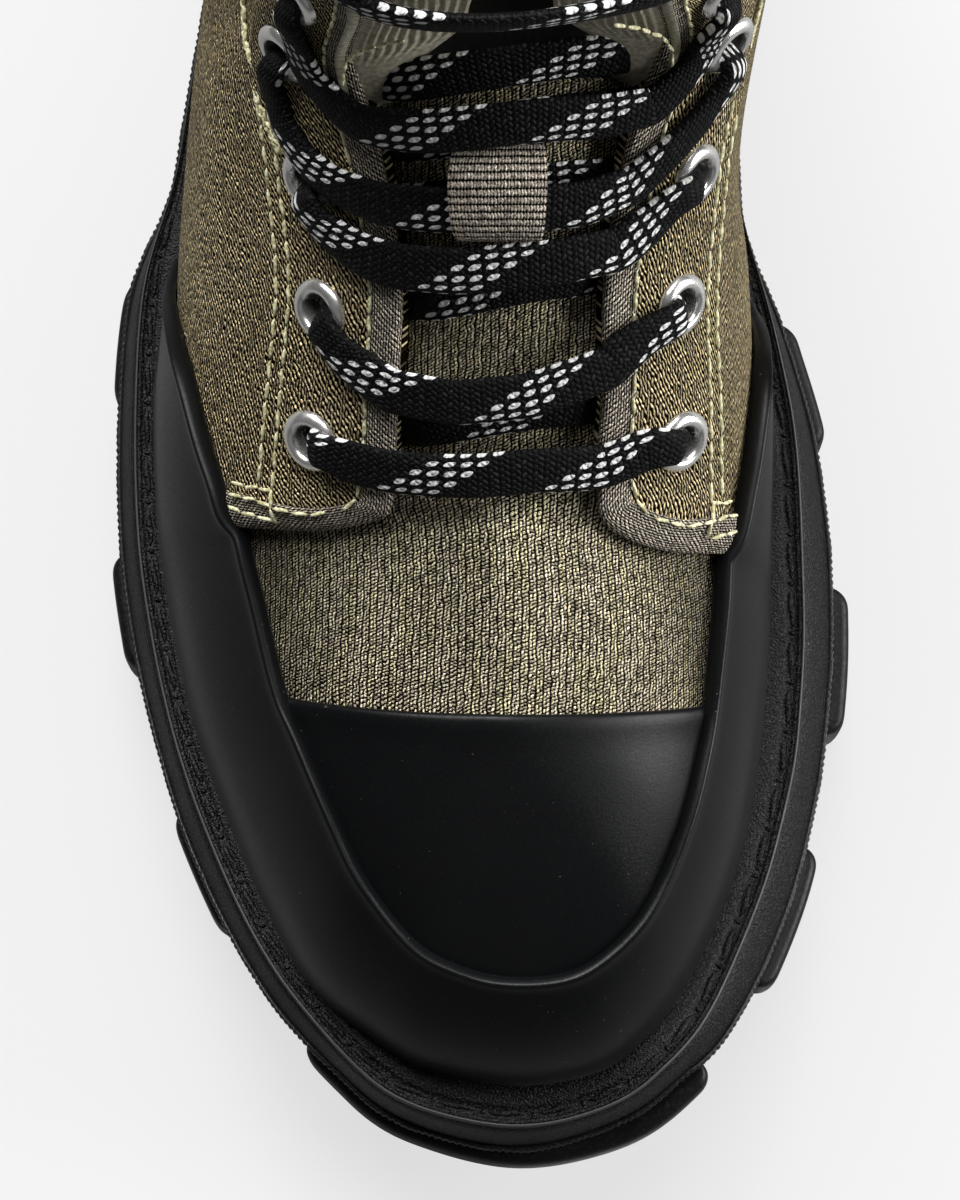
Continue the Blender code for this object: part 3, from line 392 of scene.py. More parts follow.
def pierce(piece, centres, radius):
    """Takes the cloth away round the eyelet holes; the flanges cover the rough edge."""
    only(piece)
    flat = np.empty(len(piece.data.vertices) * 3)
    piece.data.vertices.foreach_get("co", flat)
    flat = flat.reshape(-1, 3) / MM - SHIFT
    near = np.zeros(len(flat), dtype=bool)
    for centre in centres:
        near |= np.linalg.norm(flat - centre, axis=1) < radius
    bpy.ops.object.mode_set(mode="EDIT")
    bpy.ops.mesh.select_mode(type="VERT")
    bpy.ops.mesh.select_all(action="DESELECT")
    bpy.ops.object.mode_set(mode="OBJECT")
    piece.data.vertices.foreach_set("select", near)
    bpy.ops.object.mode_set(mode="EDIT")
    bpy.ops.mesh.delete(type="VERT")
    bpy.ops.object.mode_set(mode="OBJECT")


print("dressing tools ready")


# %% [markdown]
# Stitches and eyelets are one small form many times over. The form is modelled once and copied to
# its places as arrays, which is quicker than hundreds of objects and gives one joined mesh.

# %% Copies of small pieces
def copies(name, pattern, places):
    """Joins many copies of one small piece into one mesh; places are 4 x 4 arrays in millimetres."""
    form = np.array([v.co[:] for v in pattern.data.vertices])
    faces = [tuple(p.vertices) for p in pattern.data.polygons]
    points, polygons = [], []
    for k, place in enumerate(places):
        points.append((form @ place[:3, :3].T + place[:3, 3] + SHIFT) * MM)
        polygons += [tuple(i + k * len(form) for i in f) for f in faces]
    mesh = bpy.data.meshes.new(name)
    mesh.from_pydata(np.concatenate(points).tolist(), [], polygons)
    piece = bpy.data.objects.new(name, mesh)
    bpy.context.scene.collection.objects.link(piece)
    return piece


def frame_at(centre, run, up):
    """A place: x along the run, z up, in millimetres."""
    x = run / np.linalg.norm(run)
    y = np.cross(up, x)
    y = y / np.linalg.norm(y)
    place = np.eye(4)
    place[:3, :3] = np.column_stack((x, y, np.cross(x, y)))
    place[:3, 3] = centre
    return place


print("copying tools ready")


# %% [markdown]
# ## Materials
# The vamp is a coarse duck: fat glossy threads in upright wales over dark brown gaps. The quarters
# are a twill. The rubber is satin black, the sole is grainy, the tape is ribbed, and the lace is a
# black flat braid with slanted groups of white picks. The pattern of all woven goods is one node
# group that puts out only masks and heights, so each material stays a plain Principled shader.

# %% Node helpers
class Net:
    """Short names for building a node tree."""

    def __init__(self, tree):
        self.tree = tree

    def add(self, kind, **values):
        node = self.tree.nodes.new(kind)
        for key, value in values.items():
            setattr(node, key, value)
        return node

    def plug(self, value, socket):
        if isinstance(value, bpy.types.NodeSocket):
            self.tree.links.new(value, socket)
        elif value is not None:
            socket.default_value = value

    def math(self, operation, a, b=None, c=None):
        node = self.add("ShaderNodeMath", operation=operation)
        for value, socket in zip((a, b, c), node.inputs):
            self.plug(value, socket)
        return node.outputs[0]

    def mix(self, factor, a, b):
        node = self.add("ShaderNodeMix", data_type="RGBA")
        for value, socket in zip((factor, a, b), (node.inputs[0], node.inputs[6], node.inputs[7])):
            self.plug(value, socket)
        return node.outputs[2]

    def span(self, value, low, high, out_low=0.0, out_high=1.0):
        node = self.add("ShaderNodeMapRange", interpolation_type="SMOOTHSTEP")
        for v, socket in zip((value, low, high, out_low, out_high), node.inputs):
            self.plug(v, socket)
        return node.outputs[0]

    def noise(self, vector, scale, detail=2.0):
        node = self.add("ShaderNodeTexNoise")
        self.plug(vector, node.inputs["Vector"])
        node.inputs["Scale"].default_value = scale
        node.inputs["Detail"].default_value = detail
        return node.outputs[0]

    def speck(self, x, y):
        join = self.add("ShaderNodeCombineXYZ")
        self.plug(x, join.inputs[0])
        self.plug(y, join.inputs[1])
        node = self.add("ShaderNodeTexWhiteNoise", noise_dimensions="2D")
        self.tree.links.new(join.outputs[0], node.inputs["Vector"])
        return node.outputs[0]

    def in_cell(self, value, cell):
        """How far a value stands from the middle of its cell, in cells."""
        return self.math("SUBTRACT", self.math("SUBTRACT", value, cell), 0.5)

    def power(self, value, exponent):
        return self.math("POWER", self.math("ABSOLUTE", value), exponent)

    def place(self):
        return self.add("ShaderNodeTexCoord").outputs["Object"]

    def parts(self, vector):
        node = self.add("ShaderNodeSeparateXYZ")
        self.tree.links.new(vector, node.inputs[0])
        return node.outputs[0], node.outputs[1]


print("node helpers ready")


# %% [markdown]
# A finish that several pieces share is a group; what is only one piece's own stays in its material.
# Grain, nap and thread stand up by fractions of a millimetre, so they are bumps, not geometry.

# %% Groups, materials and bumps
def new_group(name, inputs, outputs):
    tree = bpy.data.node_groups.new(name, "ShaderNodeTree")
    for label, kind in inputs:
        tree.interface.new_socket(label, in_out="INPUT", socket_type=kind)
    for label in outputs:
        tree.interface.new_socket(label, in_out="OUTPUT", socket_type="NodeSocketFloat")
    net = Net(tree)
    return net, net.add("NodeGroupInput").outputs, net.add("NodeGroupOutput").inputs


def new_material(name):
    material = bpy.data.materials.new(name)
    material.use_nodes = True
    net = Net(material.node_tree)
    return material, net, material.node_tree.nodes["Principled BSDF"]


def use_group(net, group, **values):
    node = net.add("ShaderNodeGroup", node_tree=group)
    for key, value in values.items():
        net.plug(value, node.inputs[key])
    return node.outputs


def bump(net, shader, height, distance):
    """A bump whose height is in millimetres."""
    node = net.add("ShaderNodeBump")
    node.inputs["Distance"].default_value = distance * MM
    net.plug(height, node.inputs["Height"])
    net.tree.links.new(node.outputs[0], shader.inputs["Normal"])


print("material helpers ready")

# %% [markdown]
# All the woven goods share one pattern. Cloth shows short stretches of thread, each one a slanted
# ellipse in a cell of its own: columns side by side, each a step higher than the last. A step of a
# half gives the vamp's duck, a third gives twill, none gives the ribs of tape, and slants that
# alternate give a braid. A dark groove can part the columns into wales.

# %% Weave group
WEAVE_SIZES = ("Column", "Pick", "Step", "Slant", "Long", "Thin", "Mirror", "Wale", "Groove", "Loose")
weave_inputs = [("Place", "NodeSocketVector")] + [(n, "NodeSocketFloat") for n in WEAVE_SIZES]
net, given, put = new_group("weave", weave_inputs, ("Height", "Thread", "Shade", "Streak"))
u, v = net.parts(given["Place"])
column = net.math("DIVIDE", u, given["Column"])
column_id = net.math("FLOOR", column)
climb = net.math("MULTIPLY", column_id, given["Step"])
row = net.math("SUBTRACT", net.math("DIVIDE", v, given["Pick"]), climb)
row_id = net.math("FLOOR", row)
x = net.math("MULTIPLY", net.in_cell(column, column_id), given["Column"])
y = net.math("MULTIPLY", net.in_cell(row, row_id), given["Pick"])
odd = net.math("MULTIPLY", net.math("FLOORED_MODULO", column_id, 2.0), given["Mirror"])
turn = net.math("MULTIPLY", given["Slant"], net.math("SUBTRACT", 1.0, net.math("MULTIPLY", odd, 2.0)))
own = net.speck(column_id, row_id)
turn = net.math("ADD", turn, net.math("MULTIPLY", net.math("SUBTRACT", own, 0.5), given["Loose"]))
cosine, sine = net.math("COSINE", turn), net.math("SINE", turn)
along = net.math("ADD", net.math("MULTIPLY", x, cosine), net.math("MULTIPLY", y, sine))
aside = net.math("SUBTRACT", net.math("MULTIPLY", y, cosine), net.math("MULTIPLY", x, sine))
far = net.math("ADD", net.power(net.math("DIVIDE", along, given["Long"]), 2.0),
               net.power(net.math("DIVIDE", aside, given["Thin"]), 2.0))
wale = net.math("DIVIDE", u, given["Wale"])
wale_id = net.math("FLOOR", wale)
ditch = net.span(net.math("ABSOLUTE", net.in_cell(wale, wale_id)), 0.30, 0.47)
rise = net.math("SUBTRACT", 1.0, net.math("MULTIPLY", given["Groove"], ditch))
net.plug(net.math("MULTIPLY", net.span(far, 1.3, 0.1), rise), put["Height"])
net.plug(net.math("MULTIPLY", net.span(far, 1.25, 0.5), rise), put["Thread"])
net.plug(own, put["Shade"])
net.plug(net.speck(wale_id, net.math("FLOOR", net.math("MULTIPLY", v, 0.11))), put["Streak"])
weave_group = net.tree
print("weave group", len(net.tree.nodes), "nodes")


# %% [markdown]
# Each cloth is the same dyed canvas at its own scale. The low places keep the dark brown of the
# warp, every stretch of thread has its own shade, and some wales run yellower than others. Tape is
# the greyer one. A slow wobble keeps the rows from looking ruled. On the vamp a painted shade
# darkens the cloth towards its sides.

# %% Canvas and tape materials
def cloth(name, thread, streak, gap, depth, weave, spread=(0.6, 1.5), wobble=0.9, painted_side_shade=1.0, hair=2.3):
    material, net, shader = new_material(name)
    uv = net.add("ShaderNodeUVMap").outputs[0]
    noise = net.add("ShaderNodeTexNoise")
    net.plug(uv, noise.inputs["Vector"])
    noise.inputs["Scale"].default_value = 0.5
    noise.inputs["Detail"].default_value = 3.0
    shift = net.add("ShaderNodeVectorMath", operation="MULTIPLY_ADD")
    net.plug(noise.outputs["Color"], shift.inputs[0])
    shift.inputs[1].default_value = (wobble, wobble, 0.0)
    net.plug(uv, shift.inputs[2])
    woven = use_group(net, weave_group, Place=shift.outputs[0], **weave)
    fibre = net.span(net.noise(uv, hair, 2.0), 0.3, 0.7)
    dyed = net.mix(net.span(woven["Streak"], 0.35, 0.9, 0.0, 0.6), thread, streak)
    tone = net.span(net.noise(uv, 0.05, 3.0), 0.3, 0.7, 0.85, 1.12)
    own_shade = net.math("ADD", net.math("MULTIPLY", woven["Shade"], spread[1] - spread[0]), spread[0])
    tone = net.math("MULTIPLY", tone, own_shade)
    tone = net.math("MULTIPLY", tone, net.math("ADD", net.math("MULTIPLY", fibre, 1.3), 0.35))
    # Painted shade: the cloth darkens from 16 to 38 mm out from the middle line.
    if painted_side_shade < 1.0:
        from_middle = net.math("ABSOLUTE", net.parts(uv)[0])
        tone = net.math("MULTIPLY", tone, net.span(from_middle, 16.0, 38.0, 1.0, painted_side_shade))
    shade = net.add("ShaderNodeVectorMath", operation="SCALE")
    net.plug(dyed, shade.inputs[0])
    net.plug(tone, shade.inputs["Scale"])
    net.plug(net.mix(woven["Thread"], gap, shade.outputs[0]), shader.inputs["Base Color"])
    net.plug(net.span(woven["Thread"], 0.0, 1.0, 0.95, 0.5), shader.inputs["Roughness"])
    net.plug(net.span(woven["Thread"], 0.1, 0.9, 0.0, 0.42), shader.inputs["Specular IOR Level"])
    bump(net, shader, net.math("ADD", woven["Height"], net.math("MULTIPLY", fibre, 0.45)), depth)
    return material


def weave_of(*sizes):
    return dict(zip(WEAVE_SIZES, sizes))


DUCK = weave_of(0.56, 0.54, 0.5, 0.62, 0.37, 0.185, 0.0, 1.12, 1.0, 1.3)
TWILL = weave_of(0.5, 0.92, 0.34, 2.05, 0.52, 0.165, 0.0, 0.5, 0.35, 1.0)
RIBS = weave_of(0.42, 0.84, 0.5, 1.75, 0.44, 0.16, 0.0, 0.42, 0.3, 0.6)
LOOP = weave_of(0.44, 1.15, 0.0, 1.6, 0.5, 0.24, 0.0, 0.5, 0.1, 0.35)
BRAID = weave_of(0.75, 0.86, 0.5, 0.7, 0.46, 0.26, 1.0, 1.5, 0.25, 0.2)
STRAW, STRAW_LIME = (0.76, 0.66, 0.47, 1.0), (0.76, 0.69, 0.38, 1.0)
OLIVE, OLIVE_LIME = (0.68, 0.545, 0.32, 1.0), (0.68, 0.575, 0.29, 1.0)
GREY_LOOP, GREY_TAPE = (0.62, 0.54, 0.445, 1.0), (0.60, 0.525, 0.43, 1.0)
vamp_cloth = cloth("vamp_canvas", STRAW, STRAW_LIME, (0.003, 0.002, 0.001, 1.0), 0.36, DUCK,
                   (0.45, 1.6), painted_side_shade=0.36, hair=3.4)
quarter_cloth = cloth("quarter_canvas", OLIVE, OLIVE_LIME, (0.005, 0.003, 0.001, 1.0), 0.4, TWILL,
                      (0.5, 1.7))
loop_material = cloth("keeper_webbing", GREY_LOOP, GREY_LOOP, (0.006, 0.005, 0.003, 1.0), 0.3, LOOP,
                      wobble=0.2)
tape_material = cloth("grosgrain_tape", GREY_TAPE, GREY_TAPE, (0.008, 0.006, 0.004, 1.0), 0.3, RIBS,
                      wobble=0.3)
print("cloth materials ready")

# %% [markdown]
# Rubber: the rand and cap are satin with a soft sheen and stray lint; the sole is grainier, and
# pale flecks are painted into its colour as highlights of the grain. Grain is a fine noise in the
# bump, and the painted grain highlights and the lint are sparse masks in the colour, so every rubber
# of the boot is one function with its own values.

# %% Rubber materials
# The lint is dust; the second colour is a painted highlight for the rubber's grain.
LINT, PAINTED_GRAIN_GLINT = (0.30, 0.30, 0.29, 1.0), (0.075, 0.075, 0.073, 1.0)


def rubber(name, colour, rough, grain, depth, dust, gloss, grain_glint_share=0.0, sheen=0.0):
    material, net, shader = new_material(name)
    place = net.place()
    fine = net.noise(place, grain, 3.0)
    cloud = net.noise(place, 35.0, 2.0)
    lint = net.span(net.noise(place, 1900.0, 1.0), 0.77, 0.84)
    # Painted highlights: pale flecks where the grain would catch the light, mixed into the colour.
    spots = net.span(net.noise(place, grain * 1.15, 2.0), 0.55, 0.64)
    with_painted_glints = net.mix(net.math("MULTIPLY", spots, grain_glint_share), colour, PAINTED_GRAIN_GLINT)
    net.plug(net.mix(net.math("MULTIPLY", lint, dust), with_painted_glints, LINT), shader.inputs["Base Color"])
    worn = net.span(fine, 0.2, 0.8, rough - 0.05, rough + 0.07)
    net.plug(net.math("ADD", net.span(cloud, 0.3, 0.7, -0.05, 0.06), worn), shader.inputs["Roughness"])
    shader.inputs["Specular IOR Level"].default_value = gloss
    shader.inputs["Sheen Weight"].default_value = sheen
    shader.inputs["Sheen Roughness"].default_value = 0.3
    bump(net, shader, fine, depth)
    return material


rand_rubber = rubber("satin_rubber", (0.0032, 0.0035, 0.0039, 1.0), 0.36, 2400.0, 0.02, 0.3, 0.2,
                     0.0, 0.03)
sole_rubber = rubber("sole_rubber", (0.0022, 0.0023, 0.0024, 1.0), 0.30, 3000.0, 0.24, 0.6, 0.2, 0.42)
# Painted highlight: the milled edge is a lighter black so that its line shows bright.
milled_highlight_rubber = rubber("milled_highlight_rubber", (0.010, 0.010, 0.0098, 1.0), 0.38, 1900.0, 0.06, 0.3, 0.3, 0.2)
# Painted highlight: the welt's rim is a much paler rubber so that its edge shows as a bright line.
rim_highlight_rubber = rubber("rim_highlight_rubber", (0.055, 0.055, 0.054, 1.0), 0.40, 1800.0, 0.02, 0.2, 0.4)
tread_rubber = rubber("tread_rubber", (0.0050, 0.0050, 0.0048, 1.0), 0.42, 1700.0, 0.05, 0.12, 0.2,
                      0.12, 0.12)
print("rubber materials ready")

# %% [markdown]
# The sewing thread is a pale lime cotton, the eyelets are nickel with a few scuffs, the facings are
# a napped suede and the lining is a black knit; on the tongue's top the black lining is painted
# shade. Thread, facings and lining each have one noise of their own, which gives the colour its
# mottle and the surface its bump; the nickel's noise gives its scuffed roughness.

# %% Thread, metal and linings
def mottled(name, scale, detail, dark, light, rough, depth, low=None, high=None):
    """A matt finish that is mottled between two colours."""
    material, net, shader = new_material(name)
    grain = net.noise(net.place(), scale, detail)
    share = grain if low is None else net.span(grain, low, high)
    net.plug(net.mix(share, dark, light), shader.inputs["Base Color"])
    shader.inputs["Roughness"].default_value = rough
    bump(net, shader, grain, depth)
    return material


thread_material = mottled("lime_thread", 1500.0, 1.0, (0.46, 0.43, 0.22, 1.0), (0.92, 0.89, 0.60, 1.0),
                          0.55, 0.16, 0.35, 0.65)
# The black lining also colours the tongue's top, where it is painted shade inside the shaft.
lining_and_shade_material = mottled("lining_and_painted_shade", 1200.0, 2.0, (0.0025, 0.0025, 0.0025, 1.0),
                        (0.008, 0.0078, 0.0075, 1.0), 0.85, 0.2)
facing_material = mottled("facing_suede", 1300.0, 3.0, (0.26, 0.24, 0.16, 1.0), (0.52, 0.48, 0.36, 1.0),
                          0.95, 0.12, 0.3, 0.7)
facing_material.node_tree.nodes["Principled BSDF"].inputs["Sheen Weight"].default_value = 0.2

nickel_material, net, shader = new_material("nickel")
shader.inputs["Base Color"].default_value = (0.88, 0.87, 0.85, 1.0)
shader.inputs["Metallic"].default_value = 0.88
scuff = net.noise(net.place(), 500.0, 2.0)
net.plug(net.span(scuff, 0.3, 0.8, 0.2, 0.34), shader.inputs["Roughness"])
print("thread, metal and linings ready")

# %% [markdown]
# The lace is braided from black yarn, with white picks that surface in slanted groups. The black is
# the shared weave with its slants mirrored. The picks are dots in cells along the lace, and a count
# of columns less rows says which cells hold one.

# %% Lace braid
PICK_LENGTH, PICK_ROW, PICK_GROUP, PICKS_SHOWN = 2.3, 1.38, 10.0, 3.5
lace_material, net, shader = new_material("lace_braid")
uv = net.add("ShaderNodeUVMap").outputs[0]
u, v = net.parts(uv)
braid = use_group(net, weave_group, Place=uv, **BRAID)
row = net.math("DIVIDE", v, PICK_ROW)
row_id = net.math("FLOOR", row)
column = net.math("DIVIDE", u, PICK_LENGTH)
column_id = net.math("FLOOR", column)
y = net.in_cell(row, row_id)
x = net.math("SUBTRACT", net.in_cell(column, column_id), net.math("MULTIPLY", y, 0.55))
far = net.math("ADD", net.power(net.math("MULTIPLY", x, 3.1), 2.6),
               net.power(net.math("MULTIPLY", y, 3.4), 2.6))
dot = net.span(far, 1.1, 0.8)
group_at = net.math("FLOORED_MODULO", net.math("SUBTRACT", column_id, row_id), PICK_GROUP)
dot = net.math("MULTIPLY", dot, net.math("LESS_THAN", group_at, PICKS_SHOWN))
# Painted highlights: picks chosen at random are a lighter black, as glints on the yarn.
painted_yarn_glint = net.span(braid["Shade"], 0.55, 1.0)
yarn = net.mix(painted_yarn_glint, (0.0022, 0.0023, 0.0028, 1.0), (0.017, 0.0175, 0.020, 1.0))
black = net.mix(braid["Thread"], (0.0010, 0.0010, 0.0012, 1.0), yarn)
net.plug(net.mix(dot, black, (0.86, 0.86, 0.85, 1.0)), shader.inputs["Base Color"])
shader.inputs["Roughness"].default_value = 0.62
shader.inputs["Specular IOR Level"].default_value = 0.15
bump(net, shader, net.math("ADD", braid["Height"], dot), 0.26)
print(len(bpy.data.materials), "materials")

# %% [markdown]
# ## Toe box and vamp
# Under the rubber the toe is a stiffened cloth. It is hidden by cap and rand, so it is a plain fan
# of the last's sections, a little inside them.

# %% Toe box
TOE_BOX_DROP = np.array((0.0, 0.0, 0.9))
toe_stations = np.linspace(-6.2, 6.2, 49)
rows = [[below_top(w, wall_length(w) * (1.0 - f)) - TOE_BOX_DROP for w in toe_stations]
        for f in np.linspace(0.0, 1.0, 11)]
toe_box = weld(lay("toe_box", rows))
thicken(toe_box, 1.4)
dress(toe_box, lining_and_shade_material, "canvas", "upper")


# %% [markdown]
# The vamp is one cloth from the cap up into the tongue; the quarters only lie over it. Its grid
# follows the sections over the instep and then narrows into the tongue below the throat. A row is a
# station, a reach to each side (counted from the feather line on the vamp) and a lift. The tongue's
# top is a second piece, because only its face shows there; it sinks into the shaft and takes the
# black lining's colour as painted shade.

# %% Vamp and tongue
def half_throat(w):
    return 0.5 * float(np.linalg.norm(below_top(w, 0.0) - below_top(-w, 0.0)))


def instep(w, r, lift):
    """A point on the vamp or tongue: r runs across from the middle line, outer side negative."""
    if w <= THROAT_FRONT:
        return off_wall(math.copysign(w, r) if r else w, abs(r), lift)
    half = half_throat(w)
    if abs(r) <= half:
        return over_throat(w, lift, 0.5 + 0.5 * r / half)
    return off_wall(math.copysign(w, r), abs(r) - half, lift)


VAMP_ROWS = ((5.7, -6.0, 0.0), (6.0, -6.0, 0.0), (6.3, -6.0, 0.0), (6.6, -6.0, 0.0), (6.9, -6.0, 0.0),
             (7.2, -6.0, 0.0), (7.45, -6.0, -0.02), (7.6, -6.0, -0.06), (7.76, 6.0, -0.2), (7.95, 2.0, -0.8))
TONGUE_ROWS = ((8.15, 38.0, -1.7), (8.4, 28.0, -2.4), (8.7, 25.0, -2.6), (9.1, 24.0, -2.6),
               (9.5, 24.0, -2.6), (9.9, 25.0, -2.6), (10.3, 26.0, -2.6), (10.7, 27.0, -2.8),
               (10.85, 27.0, -3.4))
TOP_ROWS = ((10.6, 25.5, -3.6), (10.9, 26.5, -4.2), (11.3, 27.0, -6.5), (11.8, 26.0, -9.5),
            (12.3, 23.0, -11.0), (12.7, 21.0, -12.0), (13.0, 20.0, -12.5))
UNDER_CAP = np.array((0.0, -7.0, -3.3))


def crease(w, r):
    """Two shallow hollows where the vamp gives in front of the laces."""
    return (-0.9 * math.exp(-((w - 7.42) / 0.2) ** 2 - ((r - 15.0) / 7.0) ** 2)
            - 0.6 * math.exp(-((w - 7.3) / 0.2) ** 2 - ((r + 17.0) / 8.0) ** 2))


across = np.linspace(-1.0, 1.0, 45)
rows, uv = [], []
run = 0.0
for k, (w, reach, lift) in enumerate(VAMP_ROWS + TONGUE_ROWS):
    if k < len(VAMP_ROWS):
        reach = wall_length(w) + reach
    line = [instep(w, s * reach, lift + crease(w, s * reach)) for s in across]
    if rows:
        run += float(np.linalg.norm(line[22] - rows[-1][22]))
    rows.append(line)
    uv.append([(s * reach, run) for s in across])
rows.insert(0, [p + UNDER_CAP for p in rows[0]])
uv.insert(0, [(a, b - 7.7) for a, b in uv[0]])
vamp = lay("vamp_and_tongue", rows, uv)
smooth(vamp, 2)
thicken(vamp, 2.2, 0.4)
dress(vamp, vamp_cloth, "canvas", "upper", "tongue")

# The tongue's top is coloured with the black lining as painted shade of the shaft's inside.
rows = [[instep(w, s * reach, lift) for s in across] for w, reach, lift in TOP_ROWS]
rows += [[p + np.array((0.0, lean, rise)) for p in rows[-1]] for lean, rise in ((2.6, 8.5), (3.4, 17.0))]
tongue_top = lay("tongue_top", rows)
smooth(tongue_top, 2)
thicken(tongue_top, 2.2, 0.4)
dress(tongue_top, lining_and_shade_material, "sock", "tongue")

# %% [markdown]
# ## Quarters and shaft
# The quarters start under the eyestay's front end, go round the heel and up to the collar. The
# ankle is the only place where this stiff canvas folds: a few soft troughs and ridges are placed
# on the sections where the photo shows them.

# %% Quarters and shaft
FOLDS = ((-9.6, 30.0, 1.3, 8.0, -0.8), (-10.9, 44.0, 0.9, 12.0, 1.4), (-11.7, 40.0, 0.6, 14.0, -1.7),
         (10.9, 42.0, 0.9, 12.0, -0.7), (11.8, 40.0, 0.6, 14.0, 0.6), (12.3, 52.0, 0.6, 22.0, 1.0),
         (10.85, 54.0, 0.45, 16.0, -1.35), (-14.6, 70.0, 1.0, 10.0, -1.2), (14.7, 72.0, 1.0, 10.0, -1.2),
         (-15.6, 52.0, 1.0, 12.0, 1.0), (15.7, 52.0, 1.0, 12.0, 1.0))
STATION_MM = 15.0


def fold(w, distance):
    """Depth of the folds: each has a station, a distance down, two widths and a height."""
    total = 0.0
    for at, down, wide, tall, deep in FOLDS:
        total += deep * math.exp(-((wrap(w) - at) / wide) ** 2 - ((distance - down) / tall) ** 2)
    return total


def ahead(w):
    """How far the top of a section in front of the throat's corner runs on past the bound edge."""
    here = wrap(w)
    if abs(here) >= THROAT_CORNER:
        return 0.0
    return abs(top_spot(here)[0] - top_spot(math.copysign(THROAT_CORNER, here))[0]) + 2.0


columns = np.concatenate((np.linspace(7.74, 13.6, 34), np.linspace(13.9, 22.1, 30),
                          np.linspace(22.4, 28.26, 34)))
rows, uv = [], []
for f in np.linspace(0.0, 1.0, 24):
    line, places = [], []
    for w in columns:
        edge = ahead(w)
        d = edge + (wall_length(w) - edge) * (1.0 - f)
        line.append(off_wall(w, d, fold(w, d)))
        places.append((d, STATION_MM * w))
    rows.append(line)
    uv.append(places)
quarters = lay("quarters_and_shaft", rows, uv)
smooth(quarters, 2)
centres = [off_wall(side * w, EYELET_INSET, 0.0) for side in (-1.0, 1.0) for w in EYELET_STATIONS]
pierce(quarters, centres, 2.9)
thicken(quarters, WALL, 0.3)
dress(quarters, quarter_cloth, "canvas", "upper")


# %% [markdown]
# ## Eyestays, bindings and keeper loop
# Each eyestay is a second layer of the quarter's cloth along the throat, with a rounded lower end
# and six punched holes. It is laid on the last over the quarter, one thickness higher.

# %% Eyestays
def stay_front(r):
    """Station of the eyestay's rounded lower end at a distance from the throat's edge."""
    near = min(r, 19.4)
    curve = math.sqrt(max(0.0, 1.0 - ((near - 12.0) / 12.5) ** 2))
    return THROAT_CORNER - 0.34 * curve + 0.014 * (r - near)


def stay_spot(side, w, r, lift):
    past = abs(top_spot(side * w)[0] - top_spot(side * THROAT_CORNER)[0]) if w < THROAT_CORNER else 0.0
    return off_wall(side * w, r + past, lift)


for side, word in SIDES:
    rows, uv = [], []
    for r in np.linspace(STAY_WIDTH, 2.2, 12):
        front = stay_front(r) + 0.1
        stations = front + (STAY_TOP - front) * np.linspace(0.0, 1.0, 48)
        rows.append([stay_spot(side, w, r, OVER_GAP + STAY_THICK) for w in stations])
        uv.append([(side * r, w * STATION_MM) for w in stations])
    stay = lay("eyestay_%s_canvas" % word, rows, uv, flip=side < 0)
    smooth(stay, 2)
    centres = [off_wall(side * w, EYELET_INSET, OVER_GAP + STAY_THICK) for w in EYELET_STATIONS]
    pierce(stay, centres, 3.1)
    thicken(stay, STAY_THICK, 0.35)
    dress(stay, quarter_cloth, "canvas", "eyestay_" + word)


# %% [markdown]
# The free edge of quarter and eyestay is bound with ribbed tape, folded over the edge and running
# on round the lower end to the rand. The fold is one profile swept along the edge, and its UV runs
# in millimetres round the fold, so that the ribs keep their size.

# %% Bindings
def binding_path(side):
    """Edge of the quarter from the rand to the top: the edge point and the point one tape width in."""
    tape = TAPE_WIDTH / THROAT_PITCH
    reach = wall_length(side * 7.9) - rand_at(side * 7.9) + 4.0
    ends = [reach - (reach - 21.0) * k / 5.0 for k in range(5)] + [20.5, 18.0, 15.5, 13.0, 11.0, 9.0]
    path = [(r, stay_front(r), r, stay_front(r) + tape) for r in ends]
    for r, later, inner in ((6.4, 0.0, 7.6), (3.6, 0.01, 6.2), (1.6, 0.03, 5.2), (0.5, 0.07, TAPE_WIDTH)):
        path.append((r, stay_front(r) + later, inner, stay_front(inner) + tape))
    path += [(0.0, w, TAPE_WIDTH, w) for w in np.linspace(8.25, STAY_TOP, 34)]
    spots = []
    for r, w, inner_r, inner_w in path:
        high = 1.0 - 1.3 * soft(r, reach - 4.5, reach - 1.5)
        spots.append((stay_spot(side, w, r, high), stay_spot(side, inner_w, inner_r, high),
                      wall_normal(side * max(w, 7.62), max(r, 1.0))))
    return spots


TAPE_PROFILE = ((1.06, 0.3), (1.06, 0.75), (0.96, 0.98), (0.7, 1.14), (0.4, 1.22), (0.12, 1.15),
                (-0.06, 0.7), (-0.08, 0.0), (0.02, -0.9), (0.2, -1.9), (0.5, -2.1))
for side, word in SIDES:
    path = binding_path(side)
    run = run_along(np.array([0.5 * (edge + inside) for edge, inside, normal in path]))
    rows = [[edge + (inside - edge) * share + normal * lift for edge, inside, normal in path]
            for share, lift in TAPE_PROFILE]
    drop = np.linalg.norm(np.diff(np.array(rows), axis=0), axis=2)
    girth = np.concatenate((np.zeros((1, len(path))), np.cumsum(drop, axis=0)))
    uv = [[(girth[j][k], run[k]) for k in range(len(path))] for j in range(len(TAPE_PROFILE))]
    tape = lay("binding_%s_tape" % word, rows, uv, flip=side < 0)
    smooth(tape, 2)
    dress(tape, tape_material, "tape", "binding_" + word)

# %% [markdown]
# A keeper of grey webbing stands on the tongue and holds the lace in the middle. It is an arch over
# the tongue whose feet go down into it: a few stations along the foot with their heights.

